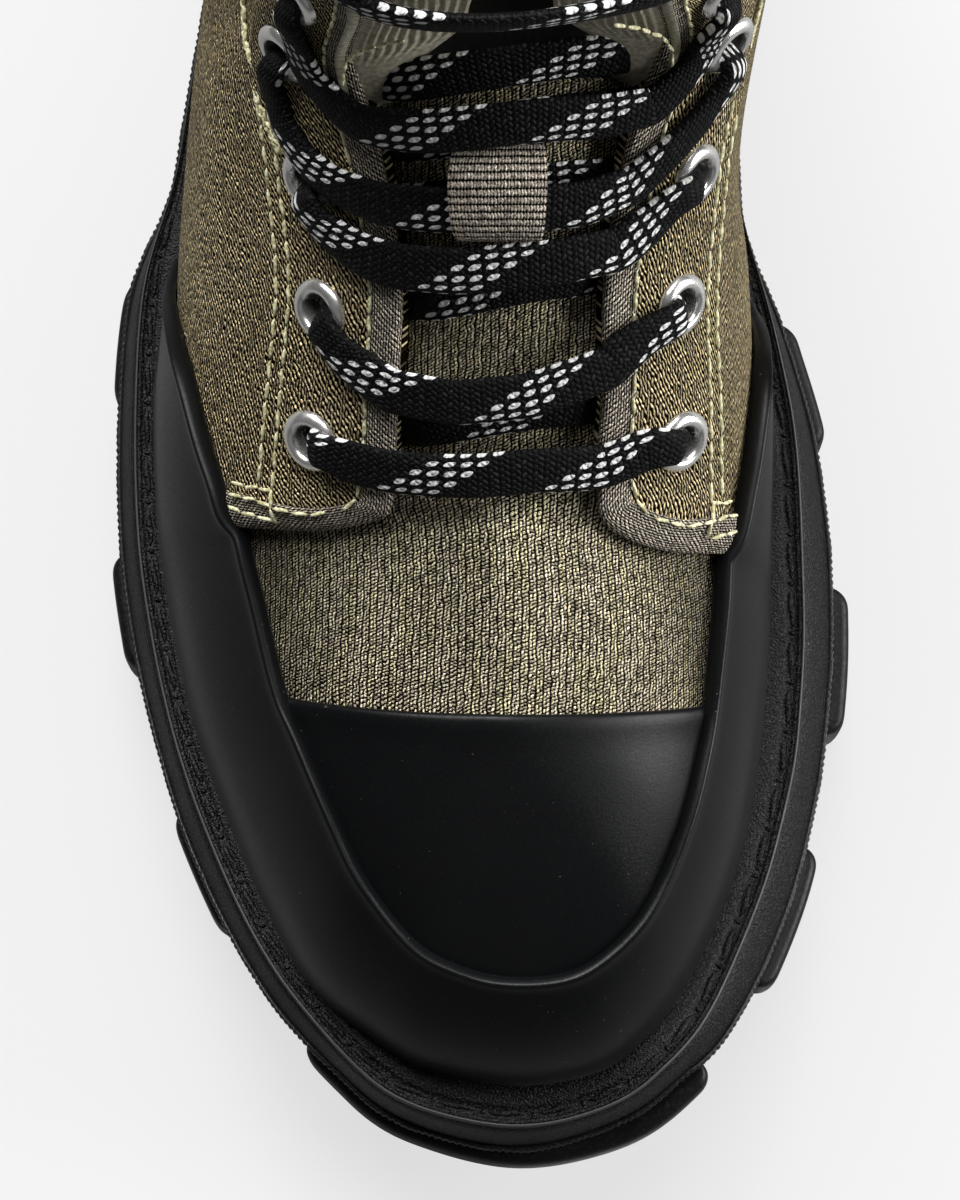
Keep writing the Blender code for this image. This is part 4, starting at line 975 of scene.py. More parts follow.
# %% Keeper loop
LOOP_STATION = 10.22
LOOP_ARCH = ((-0.36, -2.4), (-0.35, 0.0), (-0.33, 2.4), (-0.27, 4.2), (-0.18, 5.3), (-0.06, 5.7),
             (0.06, 5.75), (0.18, 5.45), (0.27, 4.5), (0.33, 2.6), (0.35, 0.0), (0.36, -2.4))
loop_across = np.linspace(-1.0, 1.0, 9)
rows, uv = [], []
run = 0.0
for step, lift in LOOP_ARCH:
    line = [over_throat(LOOP_STATION + step - 0.04 * s, lift, 0.48 + 0.17 * s) for s in loop_across]
    if rows:
        run += float(np.linalg.norm(line[4] - rows[-1][4]))
    rows.append(line)
    uv.append([(6.6 * s, run) for s in loop_across])
loop = lay("keeper_loop", rows, uv)
smooth(loop, 2)
thicken(loop, 1.1, 0.25)
dress(loop, loop_material, "tape", "tongue_loop")

# %% [markdown]
# The throat's top is faced with a soft napped strip on each side. It is stitched along the bound
# edge, lies over it into the opening and is gathered into fine ribs where it turns in.

# %% Facings
def facing_spot(side, w, a, lift):
    return over_throat(w, lift, a if side < 0 else 1.0 - a)


for side, word in SIDES:
    rows = []
    for w in np.linspace(10.86, 12.9, 26):
        wide = 0.3 + 0.26 * soft(w, 10.9, 11.5)
        tuck = 2.4 * (1.0 - soft(w, 10.8, 11.0))
        ribbed = 0.34 * soft(w, 11.3, 11.55)
        line = []
        for s in np.linspace(0.0, 1.0, 65):
            rib = ribbed * soft(s, 0.35, 0.5) * math.cos(2.0 * math.pi * 16.0 * s)
            line.append(facing_spot(side, w, -0.2 + wide * s, 2.6 - 4.6 * s ** 1.6 - tuck + rib))
        rows.append(line)
    facing = lay("facing_" + word, rows, flip=side > 0)
    smooth(facing, 1)
    thicken(facing, 1.2, 0.3)
    dress(facing, facing_material, "sock")

# %% [markdown]
# ## Toe cap and rand
# The cap's shape is the last's toe, whose sections all meet in one point. To lay a cap without a
# star of folds at that point, the toe is kept as a tree of faces, and heights are read from above.

# %% Form of the toe
FAN_COLUMNS, FAN_ROWS = 133, 61
fan = [below_top(w, wall_length(w) * (1.0 - f)) for w in np.linspace(-6.6, 6.6, FAN_COLUMNS)
       for f in np.linspace(0.0, 1.0, FAN_ROWS)]
corners = [c * FAN_ROWS + r for c in range(FAN_COLUMNS - 1) for r in range(FAN_ROWS - 1)]
fan_faces = [(k, k + FAN_ROWS, k + FAN_ROWS + 1, k + 1) for k in corners]
toe_form = BVHTree.FromPolygons([tuple(p) for p in fan], fan_faces)


def toe_height(x, y):
    hit = toe_form.ray_cast(Vector((x, y, 200.0)), Vector((0.0, 0.0, -1.0)))[0]
    return hit.z if hit else None


def toe_spot(x, y, lift):
    z = toe_height(x, y)
    slopes = []
    for dx, dy in ((1.5, 0.0), (0.0, 1.5)):
        a, b = toe_height(x + dx, y + dy), toe_height(x - dx, y - dy)
        slopes.append(0.0 if a is None or b is None else (a - b) / 3.0)
    normal = np.array((-slopes[0], -slopes[1], 1.0))
    return np.array((x, y, z)) + normal / np.linalg.norm(normal) * lift


print("toe form", len(fan_faces), "faces")


# %% [markdown]
# The cap is a sheet of rubber with a rolled bar along its rear edge. It is a four-sided patch: the
# rear edge, the two sides and the front under the rand's lip are blended into one plan and dropped
# on to the toe. The first rows carry the bar.

# %% Toe cap
def rim(w):
    return below_top(w, wall_length(w) - rand_at(w) + 1.6)[:2]


def corner_curve(a, b, count):
    return np.array([rim(w) for w in np.linspace(a, b, count)])


BAR_IN = (1.4, 0.1, 0.0, 0.7, 2.2, 4.0, 6.2, 8.8)
BAR_LIFT = (-0.3, 0.2, 1.2, 1.65, 1.72, 1.58, 1.44, 1.4)
left, right = corner_curve(-6.2, -2.6, 25), corner_curve(6.25, 2.6, 25)
front = corner_curve(-2.6, 2.6, 25)
bow = [np.array((0.0, -3.7 * math.sin(math.pi * t) ** 0.75)) for t in np.linspace(0, 1, 25)]
rear = np.array([left[0] + (right[0] - left[0]) * k / 24.0 + bow[k] for k in range(25)])
share = list(np.array(BAR_IN) / 50.0) + list(np.linspace(0.2, 1.0, 17))
lifts = list(BAR_LIFT) + [1.4] * 17
rows = []
for t, lift in zip(share, lifts):
    line = []
    lt = np.array([np.interp(t * 24, range(25), left[:, k]) for k in range(2)])
    rt = np.array([np.interp(t * 24, range(25), right[:, k]) for k in range(2)])
    for i in range(25):
        s = i / 24.0
        bilinear = (left[0] * (1 - s) + right[0] * s) * (1 - t) + (left[-1] * (1 - s) + right[-1] * s) * t
        plan = lt * (1 - s) + rt * s + rear[i] * (1 - t) + front[i] * t - bilinear
        line.append(toe_spot(plan[0], plan[1], lift))
    rows.append(line)
cap = lay("toe_cap_rubber", rows, flip=True)
smooth(cap, 2)
dress(cap, rand_rubber, "black_rubber", "toe_cap")

# %% [markdown]
# The rand is a thick moulded band round the toe that runs out at the waist. A bead along its top
# grips the cap, and its foot flares on to the welt. One profile is swept along the foot: each row is
# a share of the rand's height, a step from there and a lift off the wall.

# %% Rand
RAND_PROFILE = ((1.0, -0.8, 0.2), (1.0, 0.0, 0.9), (1.0, 0.1, 2.0), (1.0, 0.05, 2.7), (1.0, -0.2, 3.25),
                (1.0, -0.6, 3.4), (1.0, -1.1, 3.2), (1.0, -1.9, 2.9), (1.0, -4.0, 2.75), (0.72, 0.0, 2.7),
                (0.5, 0.0, 2.85), (0.32, 0.0, 3.05), (0.19, 0.0, 3.4), (0.1, 0.0, 3.95), (0.035, 0.0, 4.5),
                (0.012, 0.0, 4.7), (0.0, 0.0, 4.6), (0.0, 0.0, 1.0))
rand_stations = np.concatenate((np.linspace(-RAND_END, -6.0, 26), np.linspace(-5.7, 5.7, 49),
                                np.linspace(6.0, RAND_END, 26)))
rows = []
for part, step, lift in RAND_PROFILE:
    line = []
    for w in rand_stations:
        high = rand_at(w)
        small = min(1.0, high / 9.0)
        taper = min(1.0, (RAND_END - abs(w)) / 1.6 + 0.4)
        d = wall_length(w) - max(0.0, high * part + step * small)
        spot = off_wall(w, d, GAP + (lift - GAP) * taper)
        if part < 0.01:
            spot[2] = layer_height("feather", spot[1]) + 0.1
        line.append(spot)
    rows.append(line)
rand = lay("rand_rubber", rows, flip=True)
smooth(rand, 2)
dress(rand, rand_rubber, "black_rubber", "rand")

# %% [markdown]
# ## Sole
# From the rand outwards the sole steps down: a welt with a groove for its stitches and a thin pale
# rim, a grainy band, a finely milled edge, then the lugs. The welt is swept round the last as a
# closed ring; the rim is a ring of its own, because its paler rubber is a painted highlight along
# the welt's edge.

# %% Welt
def ring(name, stations, profile):
    """Sweeps a profile round the sole: profile(w) gives rows of points from inside to outside."""
    rows = [list(line) for line in zip(*[profile(w) for w in stations])]
    return weld(lay(name, rows))


WELT_STEPS = ((3.0, 0.0), (2.75, -0.08), (2.55, -0.4), (1.15, -0.4), (0.95, -0.08), (0.75, 0.0), (0.0, 0.0))
RIM_STEPS = ((0.4, -0.3), (0.38, 0.3), (0.28, 0.46), (0.1, 0.46), (0.0, 0.3), (-0.04, -0.5))


def narrow(w):
    """The welt's edge and a scale for its mouldings, which shrink with it at the waist."""
    edge = rim_at(wrap(w))
    return edge, min(1.0, edge / 7.5)


def welt_profile(w):
    edge, scale = narrow(w)
    steps = [(-5.0, -3.4), (-5.0, 0.0), (0.3, 0.0)]
    steps += [(edge - back * scale, high) for back, high in WELT_STEPS]
    steps.append((edge + 0.1, -3.4))
    return [sole_spot(w, offset, "feather", high) for offset, high in steps]


def rim_profile(w):
    edge, scale = narrow(w)
    return [sole_spot(w, edge - back * scale, "feather", high) for back, high in RIM_STEPS]


round_stations = np.linspace(-HEEL, HEEL, 145)
welt = ring("welt_rubber", round_stations, welt_profile)
smooth(welt, 1)
dress(welt, sole_rubber, "sole_rubber", "welt")
welt_rim = ring("welt_rim", round_stations, rim_profile)
smooth(welt_rim, 1)
dress(welt_rim, rim_highlight_rubber, "sole_rubber", "welt")


# %% [markdown]
# Below the rim a grainy band slopes out to the edge of the midsole. It is a ring like the welt, and
# its lower part is tucked behind the milled edge.

# %% Midsole band
def band_profile(w):
    reach, edge = flange(w), rim_at(wrap(w))
    steps = ((edge - 1.0, "feather", -3.3), (edge + 0.2, "feather", -3.4),
             (edge + 0.35 * (reach - edge), "feather", -5.4), (reach - 0.8, "ledge", 1.2),
             (reach - 0.6, "ledge", 0.3), (reach - 0.6, "outsole", 0.1), (reach - 6.0, "outsole", 0.1))
    return [sole_spot(w, *step) for step in steps]


band = ring("midsole_band", round_stations, band_profile)
smooth(band, 1)
dress(band, sole_rubber, "sole_rubber", "midsole")

# %% [markdown]
# The edge of the midsole is milled with fine upright teeth, about one to a millimetre. Teeth are
# spaced by the length of the edge, four points to a tooth, and two slow waves make them uneven, as
# moulded teeth are.

# %% Milled edge
TOOTH_PITCH = 1.05
EDGE_STEPS = ((-1.0, "ledge", 0.5, 0.0), (-0.6, "ledge", 0.8, 0.04), (-0.2, "ledge", 0.85, 0.11),
              (0.0, "ledge", 0.55, 0.13), (0.0, "ledge", -0.3, 0.13), (0.0, "outsole", 0.5, 0.13),
              (-0.5, "outsole", 0.25, 0.1), (-1.6, "outsole", 0.25, 0.0))
edge_stations = np.linspace(-HEEL, HEEL, 721)
edge_run = run_along(np.array([sole_spot(w, flange(w), "ledge") for w in edge_stations]))
teeth = int(edge_run[-1] / TOOTH_PITCH)
tooth_stations = np.interp(np.linspace(0.0, edge_run[-1], teeth * 4 + 1), edge_run, edge_stations)
rows = []
for offset, name, extra, deep in EDGE_STEPS:
    line = []
    for k, w in enumerate(tooth_stations):
        uneven = 0.8 + 0.5 * math.sin(0.23 * k) * math.sin(0.051 * k)
        cut = deep * uneven * (1.0 - math.cos(math.pi * 0.5 * k))
        line.append(sole_spot(w, flange(w) + offset - cut, name, extra))
    rows.append(line)
milled = weld(lay("milled_edge", rows))
# The milled edge's lighter rubber is a painted highlight along the line of teeth.
dress(milled, milled_highlight_rubber, "sole_rubber", "midsole")

# %% [markdown]
# The outsole is moulded in one with its lugs and tread bars. It is the CAD solid, merged, remeshed
# and relaxed, so that its moulded edges go soft. What stands past the sole's edge is drawn back to
# it, because the outer faces of the lugs are made next.

# %% Outsole
VOXEL, TRIM_IN = 1.0, 0.8
source = next(o for o in bpy.data.objects if o.get("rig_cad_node") == "outsole")
only(source)
bpy.ops.object.duplicate()
outsole = bpy.context.object
outsole.name = "lug_outsole"
for key in list(outsole.keys()):
    del outsole[key]
matrix = source.matrix_world.copy()
outsole.parent = None
outsole.matrix_world = Matrix.Identity(4)
outsole.data.transform(matrix)
weld(outsole)
change(outsole, "REMESH", mode="VOXEL", voxel_size=VOXEL * MM)
change(outsole, "SMOOTH", factor=0.5, iterations=2)

edge_line = KDTree(len(edge_stations))
trim = []
for k, w in enumerate(edge_stations):
    spot = sole_spot(w, flange(w) - TRIM_IN, "outsole") + SHIFT
    trim.append((spot[:2], outward(w)))
    edge_line.insert((spot[0], spot[1], 0.0), k)
edge_line.balance()
for vertex in outsole.data.vertices:
    x, y = vertex.co.x / MM, vertex.co.y / MM
    spot, out = trim[edge_line.find((x, y, 0.0))[1]]
    past = (x - spot[0]) * out[0] + (y - spot[1]) * out[1]
    if past > 0.0:
        vertex.co.x -= out[0] * past * MM
        vertex.co.y -= out[1] * past * MM
dress(outsole, tread_rubber, "sole_rubber", "outsole")


# %% [markdown]
# The outer faces of the lugs are smoother than the tread. Each is drawn along the sole's edge: a
# block with a rounded top, a foot cut back to the ground and round corners. It starts under the
# milled edge, so only its face shows. A lug has a first and a last station and how far it stands out.

# %% Lug faces
LUGS = ((-5.3, -4.05, 0.9), (-7.95, -6.75, 1.65), (-10.25, -9.25, 1.1), (-13.75, -12.9, 1.6),
        (-15.2, -14.4, 1.6), (3.72, 5.15, 2.2), (6.2, 7.9, 2.6), (9.15, 10.15, 2.1), (12.9, 13.75, 1.6),
        (14.4, 15.2, 1.6), (16.1, 19.9, 1.8))
TOE_LUG = ((-2.7, 1.0), (-2.0, 1.3), (-1.0, 1.4), (0.0, 1.75), (1.0, 2.75), (2.0, 3.0), (2.65, 2.5))
LUG_STEPS = ((-5.0, "outsole", -0.15), (-1.9, "outsole", -0.1), (-0.9, "outsole", -0.25),
             (-0.2, "outsole", -0.9), (0.0, "outsole", -2.2), (0.0, "ground", 5.0),
             (-0.25, "ground", 2.6), (-1.0, "ground", 0.9), (-2.0, "ground", 0.1), (-7.0, "ground", 0.1))
LUG_CORNER, LUG_ROOT, LUG_ROUND = 3.4, -1.5, 2.4


def lug_face(first, last, out_of):
    fine = np.linspace(first, last, 80)
    run = run_along(np.array([sole_spot(w, flange(w), "outsole") for w in fine]))
    ends = np.array((0.0, 0.15, 0.5, 1.0, 1.8, 2.6, LUG_CORNER))
    middle = np.linspace(LUG_CORNER, run[-1] - LUG_CORNER, 26)[1:-1]
    at = np.concatenate((ends, middle, run[-1] - ends[::-1]))
    rows = []
    for step, name, extra in LUG_STEPS:
        line = []
        for here in at:
            w = float(np.interp(here, run, fine))
            close = 1.0 - min(1.0, min(here, run[-1] - here) / LUG_CORNER)
            full = (1.0 - close ** LUG_ROUND) ** (1.0 / LUG_ROUND)
            out = LUG_ROOT + (out_of(w) - LUG_ROOT) * full
            line.append(sole_spot(w, flange(w) + out + step, name, extra))
        rows.append(line)
    return lay("lug", rows)


toe_out = track_of([row[0] for row in TOE_LUG], [row[1] for row in TOE_LUG])
faces = [lug_face(TOE_LUG[0][0], TOE_LUG[-1][0], toe_out)]
for first, last, stands_out in LUGS:
    faces.append(lug_face(first, last, lambda w: stands_out))
only(faces[0])
for face in faces[1:]:
    face.select_set(True)
bpy.ops.object.join()
lug_faces = bpy.context.object
lug_faces.name = "lug_faces"
smooth(lug_faces, 1)
dress(lug_faces, tread_rubber, "sole_rubber", "outsole")

# %% [markdown]
# Inside lies a thin board covered with the lining. It is hardly seen, so it is a plain sheet from
# side to side of the feather line, a little inside it.

# %% Insole
INSOLE_IN, INSOLE_TOP = -2.6, 4.2
rows = []
for share in np.linspace(0.0, 1.0, 9):
    line = []
    for w in np.linspace(0.0, HEEL, 61):
        lat, med = [sole_spot(s * w, INSOLE_IN, "feather", INSOLE_TOP) for s, word in SIDES]
        line.append(lat * (1 - share) + med * share)
    rows.append(line)
insole = lay("insole_board", rows)
smooth(insole, 1)
thicken(insole, 3.8, 0.6)
dress(insole, lining_and_shade_material, "sock", "insole")

# %% [markdown]
# ## Eyelets
# A nickel eyelet is a tube rolled over into a broad rounded flange. Its half section is drawn once
# and turned round its axis; each of the twelve is a copy of its own, set square on the eyestay.

# %% Eyelets
EYELET_SECTION = ((2.35, -2.6), (2.35, -0.6), (2.42, 0.25), (2.7, 0.72), (3.15, 0.95), (3.7, 0.85),
                  (4.2, 0.5), (4.5, 0.1), (4.55, -0.3))
EYELET_LIFT = OVER_GAP + STAY_THICK + 0.25
bpy.ops.object.select_all(action="DESELECT")
mesh = bpy.data.meshes.new("eyelet")
section_edges = [(k, k + 1) for k in range(len(EYELET_SECTION) - 1)]
mesh.from_pydata([(r, 0.0, z) for r, z in EYELET_SECTION], section_edges, [])
eyelet = bpy.data.objects.new("eyelet", mesh)
bpy.context.scene.collection.objects.link(eyelet)
change(eyelet, "SCREW", angle=2 * math.pi, steps=40, render_steps=40, axis="Z",
       use_merge_vertices=True, merge_threshold=0.001, use_normal_flip=True)
smooth(eyelet, 1)
up_the_throat = np.array((0.0, 1.0, 0.3))
for side, word in SIDES:
    for k, w in enumerate(EYELET_STATIONS):
        node = "eyelet_%s_%d" % (word, k + 1)
        centre = off_wall(side * w, EYELET_INSET, EYELET_LIFT)
        normal = wall_normal(side * w, EYELET_INSET)
        flat_way = up_the_throat - normal * (normal @ up_the_throat)
        ring_piece = copies(node + "_nickel", eyelet, [frame_at(centre, flat_way, normal)])
        dress(ring_piece, nickel_material, "nickel", node)
bpy.data.objects.remove(eyelet, do_unlink=True)


# %% [markdown]
# ## Lace
# The lace is one flat braid. It is swept as a rounded flat section along a path, with its UV in
# millimetres, so that the braid's pattern runs on along it. The section can grow narrow and thick,
# as the braid does where it gathers.

# %% Flat braid
LACE_WIDTH, LACE_THICK = 7.0, 1.9


def ribbon(path, across, width, thick, start):
    """A flat braid along a path; its UV runs in millimetres along and across."""
    path = np.array(path)
    run = np.gradient(path, axis=0)
    length = run_along(path) + start
    rows, uv = [], []
    for k in range(len(path)):
        side = across[k] - run[k] * (across[k] @ run[k]) / (run[k] @ run[k])
        side = side / np.linalg.norm(side)
        up = np.cross(run[k], side)
        up = up / np.linalg.norm(up)
        line, places = [], []
        for j in range(17):
            angle = 2.0 * math.pi * j / 16.0
            a = math.copysign(abs(math.cos(angle)) ** 0.8, math.cos(angle)) * width[k] * 0.5
            b = math.copysign(abs(math.sin(angle)) ** 0.75, math.sin(angle)) * thick[k] * 0.5
            line.append(path[k] + side * a + up * b)
            places.append((length[k], math.cos(angle) * LACE_WIDTH * 0.5 + 40.0))
        rows.append(line)
        uv.append(places)
    return rows, uv


def strand(path_of, lift_of, slim_of, count, start):
    """A braid along a path; path_of gives a station and a place across the throat for t from 0 to 1."""
    path, across, width, thick = [], [], [], []
    for t in np.linspace(0.0, 1.0, count):
        (w, a), (w_on, a_on) = path_of(t), path_of(t + 0.005)
        here, above = over_throat(w, lift_of(t), a), over_throat(w, lift_of(t) + 1.0, a)
        path.append(here)
        across.append(np.cross(above - here, over_throat(w_on, lift_of(t + 0.005), a_on) - here))
        width.append(LACE_WIDTH * (1.0 - slim_of(t)))
        thick.append(LACE_THICK * (1.0 + 0.9 * slim_of(t)))
    return ribbon(path, across, width, thick, start)


def braid_piece(name, rows, uv):
    piece = lay(name, rows, uv)
    smooth(piece, 1)
    weld(piece, 0.01)
    bpy.ops.object.mode_set(mode="EDIT")
    bpy.ops.mesh.normals_make_consistent(inside=False)
    bpy.ops.object.mode_set(mode="OBJECT")
    return piece


print("braid tools ready")


# %% [markdown]
# In every row the lace is a bar that lies over the bound edges and dives into a pair of eyelets,
# gathering as it nears the rings. Between two rows it shows once more, where it passes under them.
# A bar goes through listed points; an underpass is straight.

# %% Bars and underpasses
BAR_LIFT_OFF = 3.3


def bar(name, spots, slim, reach, phase):
    """A stretch from eyelet to eyelet over the bound edges; it gathers as it comes near the rings."""
    last = len(spots) - 1
    w_of = track_of(range(last + 1), [s[0] for s in spots])
    a_of = track_of(range(last + 1), [s[1] for s in spots])
    steps = np.linspace(0.0, 1.0, 121)
    run = run_along(np.array([over_throat(w_of(t * last), BAR_LIFT_OFF, a_of(t * last)) for t in steps]))

    def to_ring(t):
        at = np.interp(t, steps, run)
        return min(at, run[-1] - at)

    def lift(t):
        far = to_ring(t)
        return BAR_LIFT_OFF + 0.6 * (1.0 - soft(far, 3.0, 9.0)) - 6.6 * (1.0 - soft(far, -1.0, 2.4))

    rows, uv = strand(lambda t: (w_of(t * last), a_of(t * last)), lift,
                      lambda t: slim * (1.0 - soft(to_ring(t), 2.0, reach)), 110, phase)
    return braid_piece(name, rows, uv)


def underpass(name, left, right, phase):
    """A stretch that shows only between the bound edges and goes on under both."""
    def place(t):
        return left + (right - left) * (1.8 * t - 0.4), 1.8 * t - 0.4

    def lift(t):
        return -1.1 - 1.2 * soft(abs(1.8 * t - 0.9), 0.36, 0.56)

    rows, uv = strand(place, lift, lambda t: 0.0, 30, phase)
    return braid_piece(name, rows, uv)


print("lace tools ready")

# %% [markdown]
# The points of each bar are a station and a place across the throat, followed by how much the braid
# gathers, over what length, and where its pattern starts. Each crossing takes its underpass with it.

# %% Lace strands
BARS = (
    (((8.45, -1.3), (8.40, -0.87), (8.32, -0.49), (8.25, 0.06), (8.17, 0.47), (8.17, 0.79), (8.27, 1.22),
      (8.40, 1.73), (8.45, 2.3)), 0.25, 8.0, 1.0),
    (((9.45, -1.3), (9.33, -1.04), (9.13, -0.70), (8.96, -0.22), (8.84, 0.13), (8.76, 0.35), (8.75, 0.59),
      (8.84, 0.83), (9.03, 1.14), (9.25, 1.67), (9.45, 2.3)), 0.25, 12.0, 9.0),
    (((10.4, -1.3), (10.25, -1.17), (10.05, -0.88), (9.88, -0.36), (9.80, 0.10), (9.74, 0.36), (9.72, 0.65),
      (9.77, 0.91), (9.99, 1.39), (10.22, 1.79), (10.4, 2.3)), 0.3, 16.0, 14.0),
    (((11.4, -1.3), (11.15, -1.42), (10.92, -1.42), (10.65, -1.17), (10.40, -0.62), (10.26, 0.05),
      (10.19, 0.30), (10.14, 0.52), (10.13, 0.76), (10.25, 0.98), (10.58, 1.53), (10.86, 1.94),
      (11.15, 2.2), (11.4, 2.3)), 0.42, 34.0, 4.0),
    (((12.25, -1.3), (11.87, -0.95), (11.24, -0.57), (10.98, -0.20), (10.84, 0.12), (10.80, 0.32),
      (10.80, 0.55), (10.79, 0.78), (10.85, 0.98), (11.15, 1.37), (11.80, 1.75), (12.25, 2.3)),
     0.42, 34.0, 11.0),
    (((13.0, -1.3), (12.95, -1.0), (12.88, -0.6), (12.8, -0.2), (12.7, 0.12), (12.64, 0.5), (12.68, 0.88),
      (12.78, 1.2), (12.88, 1.6), (12.95, 2.0), (13.0, 2.3)), 0.42, 34.0, 6.0),
)
UNDERPASSES = ((8.48, 8.55, 3.0), (9.47, 9.52, 10.0), (10.12, 10.18, 2.0), (10.62, 10.7, 7.0),
               (11.05, 11.1, 15.0))
dress(bar("lace_bar_braid", *BARS[0]), lace_material, "lace", "lace_bar")
for k in range(len(UNDERPASSES)):
    over = bar("lace_cross_%d_braid" % (k + 1), *BARS[k + 1])
    under = underpass("underpass", *UNDERPASSES[k])
    only(over)
    under.select_set(True)
    bpy.ops.object.join()
    dress(over, lace_material, "lace", "lace_cross_%d" % (k + 1))


# %% [markdown]
# ## Stitching
# A stitch shows as a short length of thread, thick in the middle and drawn down at its ends. It is
# modelled once, as a flattened bead with a slight bend, and repeated along each seam at the length
# of a real stitch. Every other stitch is turned a little the other way.

# %% One stitch
bpy.ops.object.select_all(action="DESELECT")
bpy.ops.mesh.primitive_uv_sphere_add(segments=8, ring_count=8, radius=1.0)
stitch = bpy.context.object
stitch.scale = (1.5, 0.29, 0.3)
bpy.ops.object.transform_apply(scale=True)
for vertex in stitch.data.vertices:
    vertex.co.y += 0.1 * math.sin(2.4 * vertex.co.x)
LONG_STITCH, BOX_STITCH = (2.75, 0.42, 0.07), (2.6, 0.4, 0.08)


def seam(spots, ups, length, gap, skew=0.0):
    """Places of the stitches along a line of spots."""
    spots, ups = np.array(spots), np.array(ups)
    run = run_along(spots)
    places = []
    for k in range(int(run[-1] / (length + gap))):
        ends = [k * (length + gap) + 0.2, k * (length + gap) + 0.2 + length]
        a, b = [np.array([np.interp(e, run, spots[:, j]) for j in range(3)]) for e in ends]
        up = np.array([np.interp(0.5 * (ends[0] + ends[1]), run, ups[:, j]) for j in range(3)])
        turn = np.cross(up, b - a)
        places.append(frame_at(0.5 * (a + b), b - a + turn * skew * (1 if k % 2 else -1), up))
    return places


def on_stay(side, places, lift):
    spots = [stay_spot(side, w, r, lift) for w, r in places]
    ups = [wall_normal(side * max(w, 7.64), max(r, 1.0)) for w, r in places]
    return spots, ups


print("stitch", len(stitch.data.polygons), "faces")

# %% [markdown]
# The seams are sewn in pale lime thread: a double row along each eyestay, a row along the binding,
# a small box where the rows meet at the rand, and a short row where the facing turns in.

# %% Seams
STAY_SEAMS = ((22.2, 8.12), (19.4, 8.02))
TURNED_IN = ((11.15, -0.14), (11.4, -0.06), (11.65, 0.02), (11.9, 0.1), (12.1, 0.2))
tape_share = TAPE_WIDTH / THROAT_PITCH
for side, word in SIDES:
    reach = wall_length(side * 8.0) - rand_at(side * 8.0) - 2.0
    places = []
    for r, low in STAY_SEAMS:
        row = [(w, r) for w in np.linspace(low, 11.0, 60)]
        places += seam(*on_stay(side, row, 1.85), *LONG_STITCH)
    front = [(stay_front(r) + tape_share, r) for r in np.linspace(reach, 7.5, 30)]
    round_end = [(stay_front(6.4) + tape_share, 6.4), (stay_front(5.4) + tape_share + 0.04, 5.2)]
    edge = [(w, TAPE_WIDTH - 0.5) for w in np.linspace(8.3, 13.4, 70)]
    places += seam(*on_stay(side, front, 2.15), *LONG_STITCH)
    places += seam(*on_stay(side, front[-1:] + round_end + edge, 2.2), *LONG_STITCH)
    box_back = [(8.02 + 0.014 * (r - 19.4), r) for r in np.linspace(19.0, reach, 12)]
    box_front = [(w - 0.1, r) for w, r in front if r > 18.5]
    box_side = [(8.03 - 0.055 * k, 19.2 + 0.1 * k) for k in range(6)]
    places += seam(*on_stay(side, box_back, 1.95), *BOX_STITCH)
    places += seam(*on_stay(side, box_front, 2.25), *BOX_STITCH)
    places += seam(*on_stay(side, box_side, 2.25), 2.4, 0.3, 0.08)
    low, high = [[facing_spot(side, w, a, lift) for w, a in TURNED_IN] for lift in (2.75, 3.75)]
    places += seam(low, np.array(high) - np.array(low), *LONG_STITCH)
    sewn = copies("seams_" + word, stitch, places)
    dress(sewn, thread_material, "canvas")

# %% [markdown]
# High on the shaft the eyestay's outer edge is left raw and runs on to the collar. Its pale loose
# threads are short stitches of the same bead, laid close and turned to either side. They lie on the
# folds of the quarter.

# %% Raw edges
RAW_EDGES = {
    -1.0: ((10.6, 18.0), (10.8, 20.3), (11.05, 22.6), (11.4, 29.5), (11.7, 34.5), (12.0, 39.0),
           (12.3, 42.0), (12.7, 43.6), (13.1, 43.0), (13.5, 38.0), (13.9, 28.0), (14.2, 15.0), (14.35, 1.5)),
    1.0: ((10.75, 24.0), (11.0, 25.0), (11.3, 26.5), (11.8, 32.0), (12.2, 36.0), (12.6, 38.6),
          (13.05, 39.0), (13.5, 35.0), (13.9, 26.0), (14.2, 14.0), (14.35, 1.5)),
}
LOOSE_ROWS = ((-0.25, 0.5, 1.1), (0.2, 0.32, 1.3), (0.5, 0.75, 0.9))
for side, word in SIDES:
    knots = RAW_EDGES[side]
    along_w = track_of(range(len(knots)), [k[0] for k in knots])
    along_r = track_of(range(len(knots)), [k[1] for k in knots])
    line = [(along_w(t), along_r(t)) for t in np.linspace(0.0, len(knots) - 1.0, 300)]
    places = []
    lifts = [1.9 - 1.5 * soft(r, 22.0, 24.5) + fold(side * w, r) for w, r in line]
    for shift, skew, length in LOOSE_ROWS:
        spots = [off_wall(side * w, r + shift, lift) for (w, r), lift in zip(line, lifts)]
        places += seam(spots, [wall_normal(side * w, r) for w, r in line], length, 0.12, skew)
    for place in places:
        place[:3, 0] *= 0.55
        place[:3, 1] *= 0.8
    dress(copies("raw_edge_" + word, stitch, places), thread_material, "canvas")

# %% [markdown]
# The welt's stitches are moulded in its rubber: a long bead in the groove and a dot after it, again
# and again. They are the same bead as the thread's, longer and lower, and the dot is a short one.

